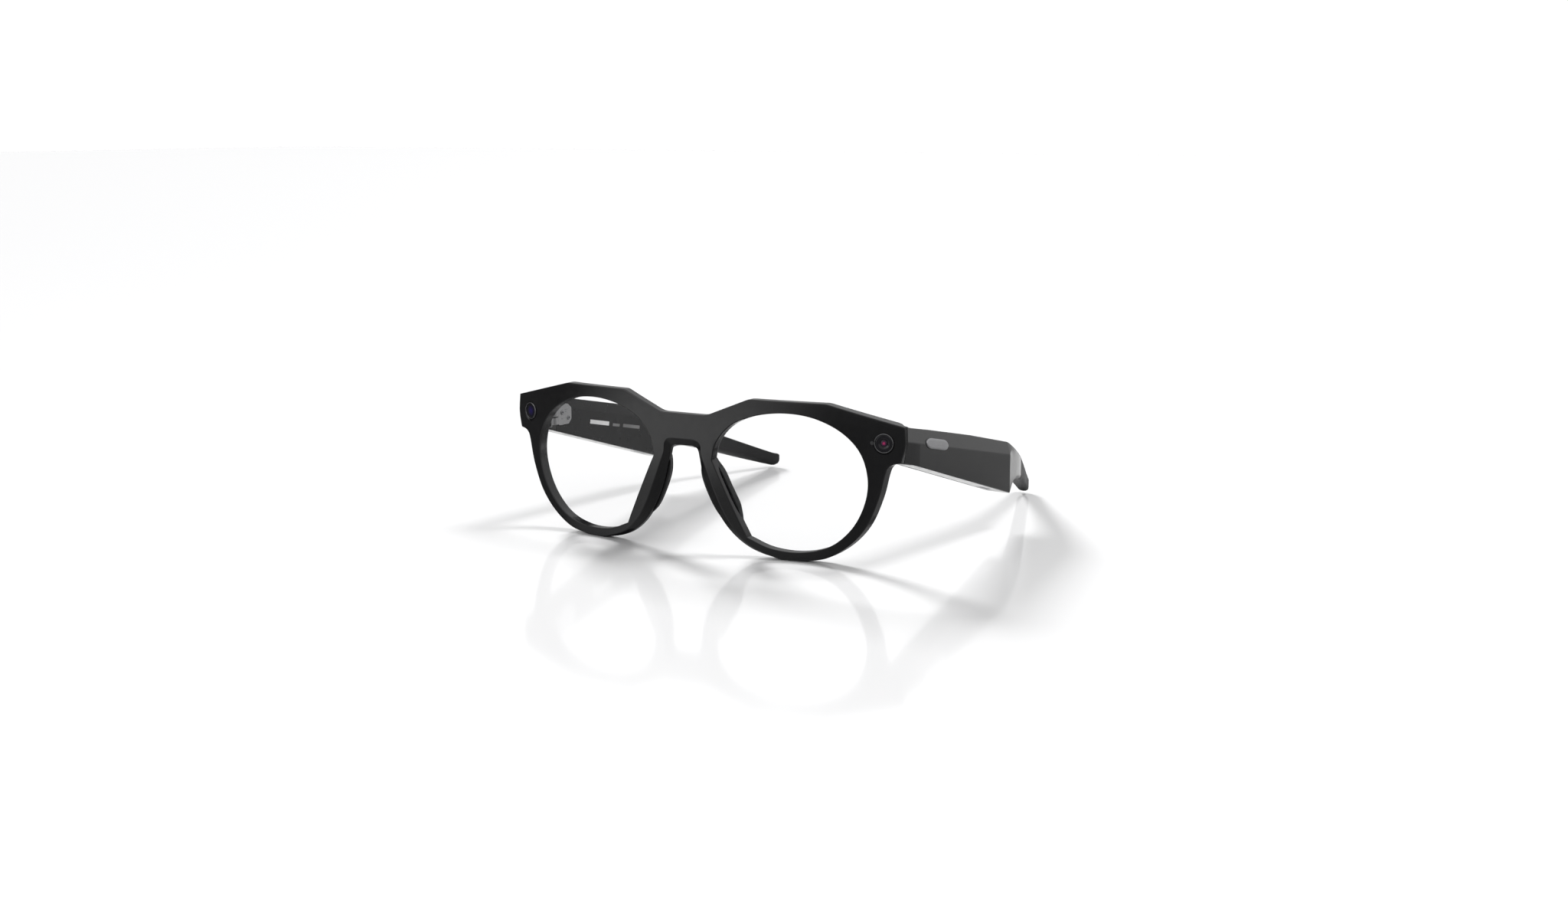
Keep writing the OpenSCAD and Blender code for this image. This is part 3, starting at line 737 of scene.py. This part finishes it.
def build_lens(side):
    """Two curved faces, each a fan of rings round the lens's middle, joined along the edge."""
    name = SIDE_NAME[side]
    line = dense(OPENING_LINE, 1.2)[:-1]
    normals = side_normals(line[-1:] + line + line[:1], -1)[1:-1]
    edge = [shifted(p, n, LENS_EDGE) for p, n in zip(line, normals)]
    outward = range(1, LENS_ROWS + 1)
    rings = []
    for depth, rows in ((LENS_FRONT, outward), (LENS_BACK, reversed(outward))):
        for k in rows:
            ring = [lerp(LENS_MIDDLE, p, k / LENS_ROWS) for p in edge]
            rings.append([place(side * x, front_ball((x, z), depth), z) for x, z in ring])
    bm = bmesh.new()
    rows = loft(bm, rings, caps=False)
    for row, depth in ((rows[0], LENS_FRONT), (rows[-1], LENS_BACK)):
        x, z = LENS_MIDDLE
        tip = bm.verts.new(place(side * x, front_ball(LENS_MIDDLE, depth), z))
        for i in range(len(row)):
            bm.faces.new((row[i], row[(i + 1) % len(row)], tip))
    finished(f"clear_lens_{name}", bm, "front", LENS, (f"lens_{name}",))


# A nose pad's two long edges, as (x, z), and how its back stands up from the rim
PAD_NOSE_SIDE = [(7.6, 33), (6.1, 29.6), (6, 25), (8.2, 19), (11.8, 12.8), (17, 8.2)]
PAD_LENS_SIDE = [(8.6, 33.2), (10.1, 30.4), (13.2, 27), (15.8, 22), (18.3, 17), (20.7, 10.6)]
PAD_LEAN, PAD_HEIGHT, PAD_ROOT = math.radians(15), 3.6, 0.9
PAD_POINTS = 15


def build_pad(side):
    """A soft nose pad: a crescent along the nose side of the rim, leaning outward as it goes back."""
    name = SIDE_NAME[side]
    a, b = spline(PAD_NOSE_SIDE, 9), spline(PAD_LENS_SIDE, 9)
    rings = []
    for i, (p, q) in enumerate(zip(a, b)):
        t = i / (len(a) - 1)
        full = min(1, 0.12 + 1.25 * math.sin(math.pi * min(max(t, 0.02), 0.98)) ** 0.6)
        ring = []
        for k in range(PAD_POINTS):
            u = k / (PAD_POINTS - 1)
            arch = math.sin(math.pi * u) ** 0.4 if 0 < u < 1 else 0.0
            across = lerp(p, q, 0.5 - 0.5 * math.cos(math.pi * u))
            h = PAD_HEIGHT * full * arch - PAD_ROOT
            back = back_ball(across) + h * math.cos(PAD_LEAN)
            out = max(h, 0) * math.sin(PAD_LEAN)
            ring.append(place(side * (across[0] + out), back, across[1]))
        rings.append(ring)
    finished(f"soft_nose_pad_{name}", lofted(rings), "front", RUBBER,
             (f"nose_pad_{name}",), 60)


# ---- Camera and light ----

# Radii of the metal ring's outside and inside
CAMERA_RING, LIGHT_RING = (3.05, 2.76), (2.8, 2.57)
# Sections as (radius, depth) behind the front face
CAMERA_STEPS = [(2.74, 0.9), (2.74, 0.12), (2.66, 0.05), (1.75, 0.03), (1.68, 0.08), (1.6, 0.2),
                (1.5, 0.22), (1.42, 0.3), (1.3, 0.32), (1.22, 0.42), (1.12, 0.44), (1.08, 0.9)]
CAMERA_DOME = [(1.12, 0.8), (1.12, 0.46)] + [
    (1.1 * math.cos(math.radians(a)), 0.44 - 0.34 * math.sin(math.radians(a))) for a in range(8, 89, 8)]
LIGHT_DOME = [(2.55, 0.6), (2.55, 0.14), (2.46, 0.06), (1.9, 0.03), (1.0, 0.0), (0.4, -0.01), (0.02, -0.01)]
# Colours from each glass's middle out to COLOUR_REACH
COLOUR_REACH = 2.3
CAMERA_GLASS = [(0.0, (0.002, 0.002, 0.003)), (0.5, (0.003, 0.002, 0.004)), (1.0, (0.006, 0.006, 0.008))]
# The camera lens's dark coating tint, with a painted pink reflection that is brightest at its middle
COATING_AND_PAINTED_REFLECTION = [(0.0, (0.5, 0.05, 0.12)), (0.14, (0.28, 0.02, 0.09)), (0.26, (0.05, 0.006, 0.035)),
                (0.4, (0.008, 0.003, 0.01))]
VIOLET_GLASS = [(0.0, (0.012, 0.006, 0.07)), (0.5, (0.006, 0.004, 0.03)), (0.8, (0.002, 0.002, 0.004))]


def build_bezel(kind, centre, radii):
    outer, inner = radii
    profile = [(inner, 1.1), (inner, -0.14), (inner + 0.05, -0.2), (outer - 0.1, -0.21),
               (outer - 0.04, -0.17), (outer, -0.08), (outer, 1.1)]
    bm = bmesh.new()
    lathe(bm, profile, centre)
    finished(f"{kind}_bezel", bm, "front", RING_METAL, (f"{kind}_ring",))


def build_glass(name, centre, profile, closed, glass, colours, replaces, sharp):
    bm = bmesh.new()
    lathe(bm, profile, centre, closed=closed)
    material = radial_glass(glass, centre @ Vector((0, 0, 0)) * MM, colours)
    finished(name, bm, "front", material, replaces, sharp)


def build_eye(side):
    """The camera in the left end piece, or the status light in the right one."""
    centre = eye_matrix(side)
    if side == RIGHT:
        build_bezel("light", centre, LIGHT_RING)
        build_glass("light_glass", centre, LIGHT_DOME, False, "light_violet_glass", VIOLET_GLASS,
                    ("light_window",), 50)
        return
    build_bezel("camera", centre, CAMERA_RING)
    build_glass("camera_glass", centre, CAMERA_STEPS, True, "camera_black_glass", CAMERA_GLASS,
                ("camera_window",), 50)
    build_glass("camera_lens_dome", centre, CAMERA_DOME, False, "camera_lens_coating_and_painted_reflection", COATING_AND_PAINTED_REFLECTION, (), 60)


# ---- Temples ----

def crease_x(y):
    return TEMPLE_X + (y - SEAM_Y) * math.tan(CREASE_YAW)


def crease_z(y):
    return CREASE_Z - (y - SEAM_Y) * math.tan(CREASE_PITCH) / math.cos(CREASE_YAW)


def block_corners(y, inner=BLOCK_T):
    """Corners of the block's section at y, from the outer bottom corner up and round."""
    x, z = crease_x(y), crease_z(y)
    top, bottom = lookup(BLOCK_TOP, y), lookup(BLOCK_BOTTOM, y)
    up = (top - z) * math.cos(CREASE_PITCH)
    shelf_z = z + SHELF
    lean = SHELF_SLOPE * (up - SHELF) if inner == BLOCK_T else 0
    return [(x, bottom), (x, z), (x - FACET_SLOPE * up, top), (x - inner + lean, top), (x - inner, shelf_z),
            (x - inner, bottom)]


def stem_corners(y):
    top, bottom, outer, inner = [
        lookup(spline(line, 12), y) for line in (STEM_TOP, STEM_BOTTOM, STEM_OUTER, STEM_INNER)]
    start = block_corners(BLOCK_END)
    height = start[2][1] - start[0][1]
    fade = max(0.0, 1 - (y - BLOCK_END) / STEM_FADE)
    lean = fade * (start[0][0] - start[2][0])
    inner_lean = fade * (start[3][0] - start[5][0])
    mid, mid_in = [bottom + (top - bottom) * (start[i][1] - start[0][1]) / height for i in (1, 4)]
    return [(outer, bottom), (outer, mid), (outer - lean, top), (inner + inner_lean, top), (inner, mid_in),
            (inner, bottom)]


def rounded(corners, radii):
    """A closed (x, z) outline with each corner softened; the same number of points for each."""
    out = []
    for i, p in enumerate(corners):
        sides = (corners[i - 1], corners[(i + 1) % len(corners)])
        start, end = [lerp(p, q, min(radii[i], 0.45 * math.dist(p, q)) / math.dist(p, q)) for q in sides]
        out += corner_curve(start, p, end)
    return out


def section(side, corners, radii, y, shrink=0.0):
    """One ring in metres. y is a number, or a function of x where the end is slanted."""
    ring = rounded(corners, radii)
    if shrink:
        cx, cz = [sum(values) / len(ring) for values in zip(*ring)]
        half = min(max(abs(x - cx) for x, _ in ring), max(abs(z - cz) for _, z in ring))
        ring = [lerp((cx, cz), p, 1 - shrink / half) for p in ring]
    return [place(side * x, y(x) if callable(y) else y, z) for x, z in ring]


# How far each corner of a section is softened, in the order of its corners
BLOCK_RADII = [0.35, 0.3, 0.4, 0.5, 0.5, 0.5]
SLIM_RADII = [*BLOCK_RADII[:3], 0.12, 0.12, 0.12]
COVER_RADII = [0.12, 0.12, 0.35, 0.6, 0.4]
STEM_START = [1.2, 4, 1.6, 1.6, 4, 1.2]
STEM_END = [2.2] * 6
# How far the bottom of the outer face is moved in at the seam, and again at y = 18
SEAM_TUCK, SECOND_TUCK = 1.2, 0.45
# The bore in the block round the hinge's knuckle
KNUCKLE_BORE = [(2.65, 33.4), (2.65, 42.4)]
GRILLE_X, GRILLE_Y = 70.4, 78
BUTTON_X, BUTTON_Y = 70.1, 27


def temple_start(x):
    """Where the temple begins, in plan: along the mitre, then square across."""
    return mitre(x) if x >= MITRE_X else MITRE_Y


def tucked(corners, amount):
    """The same section with its outer bottom corner moved in, as the front's side is at the seam."""
    return [(corners[0][0] - amount, corners[0][1])] + corners[1:]


SLEEVE_RADII = lerp(STEM_START, STEM_END, 0.5)


def build_shell(side):
    """The block and the first part of the stem, without the strip that the inner cover fills."""
    def block(y, inner=BLOCK_T, radii=BLOCK_RADII):
        return section(side, block_corners(y, inner), radii, y)

    start = tucked(block_corners(SEAM_Y), SEAM_TUCK)
    rings = [section(side, start, BLOCK_RADII, temple_start, 0.06),
             section(side, start, BLOCK_RADII, lambda x: temple_start(x) + 0.07),
             section(side, tucked(block_corners(18), SECOND_TUCK), BLOCK_RADII, 18),
             block(COVER_START - 0.15), block(COVER_START)]
    for y in (COVER_START, *COVER_ROWS, COVER_END):
        rings.append(block(y, BLOCK_T - COVER_T, SLIM_RADII))
    rings += [block(COVER_END), block(BLOCK_END - 0.3), block(BLOCK_END)]
    steps = 14
    for k in range(1, steps + 1):
        y = BLOCK_END + (SLEEVE_Y - 0.12 - BLOCK_END) * k / steps
        radii = lerp(BLOCK_RADII, lerp(STEM_START, STEM_END, 0.5 * k / steps), min(1, k / 4))
        rings.append(section(side, stem_corners(y), radii, y))
    rings.append(section(side, stem_corners(SLEEVE_Y), SLEEVE_RADII, SLEEVE_Y, 0.12))
    name = SIDE_NAME[side]
    piece = finished(f"temple_body_{name}", lofted(rings), f"temple_{name}", BLACK,
                     (f"temple_shell_{name}",), 30)
    pin = design(side) @ shift(PIN_X, PIN_Y, 0)
    grille = on_block(side, GRILLE_X, GRILLE_Y, BLOCK_BOTTOM)
    cuts = [lambda bm: lathe(bm, KNUCKLE_BORE, pin, closed=False),
            lambda bm: slab(bm, centred_box(3.16, 9.16), -0.5, 0.62, grille)]
    if side == RIGHT:
        cuts.append(lambda bm: slab(bm, pill_outline(8.3, 2.7), -2, 1.5, button_matrix()))
    carve(piece, cuts, 30)


def on_block(side, x, y, line):
    """Origin on the block's top or bottom line; Y back along the line, Z up."""
    z = lookup(line, y)
    return design(side) @ shift(x, y, z) @ spin(math.atan(lookup(line, y + 1) - z), "X")


def button_matrix():
    return on_block(RIGHT, BUTTON_X, BUTTON_Y, BLOCK_TOP)


# The hinge plate's outline, middle and screws, as (y, z), and its marks, as (y, z, width)
LEAF_PLATE = [(22.6, 32.9), (22.6, 39.6), (23.8, 40.3), (28.6, 39.4), (30.4, 37.9), (30.4, 34), (28.8, 32.4),
              (23.6, 32.4)]
LEAF_MIDDLE = (26.5, 36.3)
LEAF_SCREWS = [(25, 36.8), (28.6, 34.6)]
LEAF_MARKS = [(27.2, 37.6, 1.5), (27.2, 36.9, 1.1), (25.1, 34.6, 0.9)]
KNUCKLE = [(0.8, 36.4), (2.15, 36.4), (2.3, 36.55), (2.3, 39.05), (2.15, 39.2), (0.8, 39.2)]


def leaf_matrix(side):
    """X along the temple, Y up, Z out of its inner face."""
    turn = Matrix(((0, 0, -1, crease_x(22) - BLOCK_T), (1, 0, 0, 0), (0, 1, 0, 0), (0, 0, 0, 1)))
    return design(side) @ turn


def build_cover(side):
    """The inner cover: a long thin plate with its own seam, fitted into the shell."""
    gap = 0.05

    def corners(y):
        c = block_corners(y)
        flat = c[0][0] - (BLOCK_T - COVER_T) - gap
        top_in = min(c[3][0], flat - 0.3)
        return [(flat, c[5][1]), (flat, c[3][1]), (top_in, c[3][1]), c[4], c[5]]

    def ring(y, shrink=0.0):
        return section(side, corners(y), COVER_RADII, y, shrink)

    low, high = COVER_START + gap, COVER_END - gap
    rings = [ring(y) for y in (low + 0.12, *COVER_ROWS, high - 0.12)]
    bm = lofted([ring(low, 0.1), *rings, ring(high, 0.1)])
    name = SIDE_NAME[side]
    piece = finished(f"inner_cover_{name}", bm, f"temple_{name}", COVER_BLACK,
                     (f"temple_cover_{name}",), 30)
    grown = [tuple(v + math.copysign(0.12, v - m) for v, m in zip(p, LEAF_MIDDLE)) for p in LEAF_PLATE]
    cuts = [lambda bm: slab(bm, grown, -1.25, 1, leaf_matrix(side))]
    if side == LEFT:
        slot = block_matrix(side) @ shift(-BLOCK_T, 25, 0) @ spin(-math.pi / 2, "Y")
        cuts.append(lambda bm: slab(bm, centred_box(1.9, 4.2), -2.5, 1, slot))
    carve(piece, cuts, 30)


def build_ear_tip(side):
    """The soft sleeve on the stem. Its end is rounded off within the last few millimetres."""
    rings = [section(side, stem_corners(SLEEVE_Y + 0.06), SLEEVE_RADII, SLEEVE_Y + 0.06, 0.14)]
    first, round_from = SLEEVE_Y + 0.2, TIP_END - 3.2
    steps = 22
    for k in range(steps + 1):
        y = first + (round_from - first) * k / steps
        rings.append(section(side, stem_corners(y), lerp(SLEEVE_RADII, STEM_END, k / steps), y))
    corners = stem_corners(round_from)
    cx, cz = (corners[0][0] + corners[5][0]) / 2, (corners[0][1] + corners[2][1]) / 2
    for k in range(1, 8):
        a = math.radians(90 * k / 8)
        y = round_from + (TIP_END - round_from) * math.sin(a)
        slide = stem_corners(y)
        dx = (slide[0][0] + slide[5][0]) / 2 - cx
        dz = max(0, (slide[0][1] + slide[2][1]) / 2 - cz)
        ring = [(cx + dx + (x - cx) * math.cos(a), cz + dz + (z - cz) * math.cos(a)) for x, z in corners]
        rings.append(section(side, ring, STEM_END, y))
    name = SIDE_NAME[side]
    finished(f"soft_ear_tip_{name}", lofted(rings), f"temple_{name}", RUBBER,
             (f"ear_tip_{name}",), 50)


EMBLEM_LEVELS = [(0, -1), (0, 0.05), (0.06, 0.16), (0.2, 0.24), (0.5, 0.28), (0.9, 0.29)]
BUTTON_LEVELS = [(0, -1.6), (0, 0.28), (0.08, 0.42), (0.25, 0.51), (0.6, 0.54)]


def build_emblem(side):
    """A plain brushed plate with round ends."""
    name = SIDE_NAME[side]
    at = block_matrix(side) @ shift(0, 21.2, 0.5) @ spin(math.radians(82), "Y")
    bm = bmesh.new()
    domed_pill(bm, at, 15.4, 3.4, EMBLEM_LEVELS, 2)
    finished(f"metal_plate_{name}", bm, f"temple_{name}", BRUSHED,
             (f"emblem_plate_{name}",), 30)


def build_leaf(side):
    """The temple's hinge half: an eight-sided plate, an arm and a knuckle."""
    name = SIDE_NAME[side]
    at = leaf_matrix(side)
    bm = bmesh.new()
    slab(bm, LEAF_PLATE, -1.1, 0.14, at, 0.14)
    lathe(bm, KNUCKLE, design(side) @ shift(PIN_X, PIN_Y, 0))
    arm = box_outline(PIN_X + 0.9, PIN_Y + 0.4, PIN_X + 2, 23.6)
    slab(bm, arm, 36.42, 39.18, design(side), 0.1)
    finished(f"hinge_plate_{name}", bm, f"temple_{name}", PLATE_METAL,
             (f"hinge_leaf_{name}",), 30)
    for k, (y, z) in enumerate(LEAF_SCREWS):
        build_screw(f"plate_screw_{name}_{k + 1}", at @ shift(y, z, 0.12), f"temple_{name}")
    bm = bmesh.new()
    for y, z, width in LEAF_MARKS:
        slab(bm, centred_box(width, 0.3), 0.1, 0.17, at @ shift(y, z, 0), 0.02)
    finished(f"plate_marks_{name}", bm, f"temple_{name}", PART_METAL, (), 30)


# The head's radius, and its dome as (share of the radius, height)
SCREW_R = 0.85
SCREW_DOME = [(0.98, -0.3), (1.0, 0.05), (0.93, 0.16), (0.75, 0.24), (0.55, 0.26)]


def build_screw(name, at, body):
    """A small domed screw head with a six-sided socket."""
    angles = [math.radians(10 * k) for k in range(36)]
    rings = [laid(at, [(SCREW_R * r * math.cos(a), SCREW_R * r * math.sin(a)) for a in angles], h)
             for r, h in SCREW_DOME]
    socket = []
    for a in angles:
        reach = SCREW_R * 0.42 / math.cos((a + math.pi / 6) % (math.pi / 3) - math.pi / 6)
        socket.append((reach * math.cos(a), reach * math.sin(a)))
    rings += [laid(at, socket, h) for h in (0.26, -0.1)]
    finished(name, lofted(rings), body, PART_METAL, (), 30)


def build_button():
    at = button_matrix()
    bm = bmesh.new()
    domed_pill(bm, at, 8, 2.4, BUTTON_LEVELS)
    slab(bm, centred_box(3.2, 8.8), -1.7, -1.25, at, 0.05)
    finished("capture_button_cap", bm, "capture_button", COVER_BLACK,
             ("capture_button",), 30)


# Start and end along the crease, and height
PRINTED_BARS = [(30.4, 42.2, 1.45), (44.6, 49, 1), (51.2, 62, 1.2)]
BARS_BOTTOM = -3.4


def build_bars():
    """Plain printed bars on the right temple's inner face."""
    at = block_matrix(RIGHT) @ Matrix(((0, 0, -1, -BLOCK_T), (0, 1, 0, 0), (1, 0, 0, 0), (0, 0, 0, 1)))
    for k, (start, end, height) in enumerate(PRINTED_BARS):
        bm = bmesh.new()
        slab(bm, box_outline(BARS_BOTTOM, start, BARS_BOTTOM + height, end), -0.1, 0.05, at, 0.02)
        finished(f"printed_bar_{k + 1}", bm, "temple_right", GREY_INK if k else INK,
                 () if k else ("marking_bars",), 30)


build_front()
build_brow_strip()
for side in (LEFT, RIGHT):
    build_lens(side)
    build_pad(side)
    build_eye(side)
    build_shell(side)
    build_cover(side)
    build_ear_tip(side)
    build_emblem(side)
    build_leaf(side)
build_button()
build_bars()

# ---- CAD nodes that keep their mesh ----
KEPT = [
    (PLATE_METAL, ["hinge_bracket_left", "hinge_bracket_right"]),
    (PART_METAL, ["hinge_pin_left", "hinge_pin_right", "bracket_screws", "leaf_screws_left",
                  "leaf_screws_right", "speaker_grille_left", "speaker_grille_right", "processor_shield",
                  "camera_barrel", "temple_core_left", "temple_core_right"]),
    (RUBBER, ["front_microphone"]),
    (GOLD, ["charge_contacts"]),
    (BOARD, ["camera_board", "light_board", "battery_board", "main_board"]),
    (FILM, ["brow_flex", "touch_film"]),
    (FOIL, ["battery_left", "battery_right"]),
    (KNOB, ["power_switch", "microphone_mesh"]),
    (INNER, ["switch_housing", "button_switch", "speaker_left", "speaker_right"]),
]
for material, names in KEPT:
    for node in names:
        paint(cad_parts[node].data, material)


# ---- Studio ----

def blend(tree, a, b, kind):
    node = add(tree, "Math", {0: a, 1: b})
    node.operation = kind
    return node.outputs["Value"]


def mix_colours(tree, factor, a, b):
    """From a to b by the factor. Each is a socket or a plain colour."""
    node = tree.nodes.new("ShaderNodeMix")
    node.data_type = "RGBA"
    a, b = [(*value, 1) if isinstance(value, tuple) else value for value in (a, b)]
    feed(tree, node, {"Factor": factor, "A": a, "B": b})
    return node.outputs["Result"]


# The soft light panel in front, to the left, lighting the world's mirror rays and painted on the table:
# limits across it, and how it grows toward it
PANEL_LIMITS = [((0.86, -0.51, 0), [(0.29, 0.0), (0.4, 1.0), (0.6, 1.0), (0.71, 0.0)]),
                ((-0.51, -0.86, 0), [(0.5, 0.0), (0.9, 1.0)])]
# The mirrored room's brightness, from behind and below to the upper right
ROOM_TOWARD = (1, 0.3, 1.2)
ROOM_STOPS = [(0.2, 0.2), (0.4, 0.42), (0.5, 0.5), (0.63, 0.65), (0.9, 0.9)]

# The table's painted light and shade, seen only in the glasses' mirror faces. Stops run over 0.3 m each way
# from the middle
TABLE_SIZE, TABLE_SPAN = 12, 0.3
# Painted shade: the table darker toward its front
PAINTED_SHADE_DEPTH = [(0.0, 0.1), (0.55, 0.12), (0.8, 0.28), (1.0, 0.32)]
# Painted light on the table: a lit band, a lit patch, and where the painted panel shows
LIT_BAND_X = [(0.0, 1.0), (0.63, 1.0), (0.68, 0.0)]
LIT_BAND_Y = [(0.51, 0.0), (0.53, 0.85), (0.585, 0.85), (0.61, 0.0)]
LIT_PATCH_X = [(0.555, 0.0), (0.575, 0.7), (0.65, 0.7), (0.7, 0.0)]
LIT_PATCH_FROM, LIT_PATCH_TO = 0.07, 0.11
LIT_PANEL_FROM, LIT_PANEL_TO = -0.13, -0.22
TABLE_WHITE, TABLE_GLOSS = (0.86, 0.86, 0.865), 0.3


def bright_panel(tree, toward):
    """How much of the soft panel lies in a direction from the middle."""
    unit = vector_math(tree, "NORMALIZE", toward)
    shares = []
    for axis, stops in PANEL_LIMITS:
        shares.append(ramp(tree, ranged(tree, vector_math(tree, "DOT_PRODUCT", unit, axis), -1, 1), stops))
    return blend(tree, *shares, "MULTIPLY")


def painted_table_light(tree):
    """Painted light and shade on the table for mirror rays: painted shade in front and lighter behind, with
    a painted lit band under the temples, a painted lit patch and the painted panel.
    """
    where = add(tree, "NewGeometry", {}).outputs["Position"]
    split = add(tree, "SeparateXYZ", {"Vector": where})
    x, y = split.outputs["X"], split.outputs["Y"]
    across, depth = ranged(tree, x, -TABLE_SPAN, TABLE_SPAN), ranged(tree, y, -TABLE_SPAN, TABLE_SPAN)
    total = ramp(tree, depth, PAINTED_SHADE_DEPTH)
    # Each painted lit shape, as its share across and along the table
    lights = [(ramp(tree, across, LIT_BAND_X), ramp(tree, depth, LIT_BAND_Y)),
              (ramp(tree, across, LIT_PATCH_X), ranged(tree, y, LIT_PATCH_FROM, LIT_PATCH_TO)),
              (bright_panel(tree, where), ranged(tree, y, LIT_PANEL_FROM, LIT_PANEL_TO))]
    for a, b in lights:
        total = blend(tree, total, blend(tree, a, b, "MULTIPLY"), "ADD")
    return total


def build_floor():
    """A white, slightly glossy table. Mirror rays see painted light and shade on it instead of its white."""
    bm = bmesh.new()
    corners = centred_box(TABLE_SIZE, TABLE_SIZE)
    bm.faces.new([bm.verts.new((x, y, 0)) for x, y in corners])
    floor = add_mesh("studio_floor", bm)
    material, tree, shader = node_material("white_floor")
    tree.nodes.remove(shader)
    glossy_ray = add(tree, "LightPath", {}).outputs["Is Glossy Ray"]
    # Mirror rays get the painted light and shade; all other rays see the white
    tone = mix_colours(tree, glossy_ray, TABLE_WHITE, painted_table_light(tree))
    haze = vary(tree, noise(tree, 60), 0.08, 0.1)
    diffuse = add(tree, "BsdfDiffuse", {"Color": tone}).outputs["BSDF"]
    gloss = add(tree, "BsdfGlossy", {"Color": (1, 1, 1, 1), "Roughness": haze}).outputs["BSDF"]
    both = add(tree, "MixShader", {"Fac": TABLE_GLOSS, 1: diffuse, 2: gloss})
    feed(tree, tree.nodes["Material Output"], {"Surface": both.outputs["Shader"]})
    paint(floor.data, material)


def build_world():
    """White to the camera, grey for the light it gives, and shaded for mirror rays."""
    world = bpy.data.worlds.new("studio_white")
    bpy.context.scene.world = world
    world.use_nodes = True
    tree = world.node_tree
    rays = add(tree, "LightPath", {}).outputs
    where = add(tree, "TexCoord", {}).outputs["Generated"]
    toward = vector_math(tree, "DOT_PRODUCT", where, ROOM_TOWARD)
    mirrored = ramp(tree, ranged(tree, toward, -1.1, 1.1), ROOM_STOPS)
    mirrored = blend(tree, mirrored, bright_panel(tree, where), "ADD")
    soft = mix_colours(tree, rays["Is Glossy Ray"], (0.5, 0.5, 0.5), mirrored)
    seen = mix_colours(tree, rays["Is Camera Ray"], soft, (1.05, 1.05, 1.05))
    feed(tree, tree.nodes["Background"], {"Color": seen})


def aim(thing, direction):
    thing.rotation_mode = "QUATERNION"
    thing.rotation_quaternion = direction.to_track_quat("-Z", "Y")


def softbox(name, spot, target, size, power):
    light = bpy.data.lights.new(name, "AREA")
    light.shape = "RECTANGLE"
    light.size, light.size_y = size
    light.energy = power
    lamp = add_object(name, light)
    lamp.location = spot
    aim(lamp, Vector(target) - Vector(spot))


def key_light(toward, width, strength):
    """Even light from one direction, as wide in degrees as a softbox seen from the table."""
    light = bpy.data.lights.new("key", "SUN")
    light.angle = math.radians(width)
    light.energy = strength
    lamp = add_object("key", light)
    aim(lamp, -Vector(toward))
    lamp.visible_glossy = False


def build_camera():
    """The view of the reference."""
    turn, rise = math.radians(30.56), math.radians(9.89)
    back = Vector((math.sin(turn) * math.cos(rise), -math.cos(turn) * math.cos(rise), math.sin(rise)))
    data = bpy.data.cameras.new("camera")
    data.lens, data.sensor_width = 45.70, 36
    data.clip_start, data.clip_end = 0.01, 50
    camera = add_object("camera", data)
    camera.location = place(37.64, 0.55, 32.4) + back * 618.55 * MM
    aim(camera, -back)
    bpy.context.scene.camera = camera


build_floor()
build_world()
build_camera()
key_light((0.3, 0.5, 1.0), 18, 1.3)
key_light((-1.5, 1.1, 1.0), 14, 4.2)
softbox("left_softbox", (-0.9, -0.9, 0.5), (0, 0, 0.03), (0.7, 0.5), 1.5)
bpy.context.scene.view_settings.view_transform = "Standard"
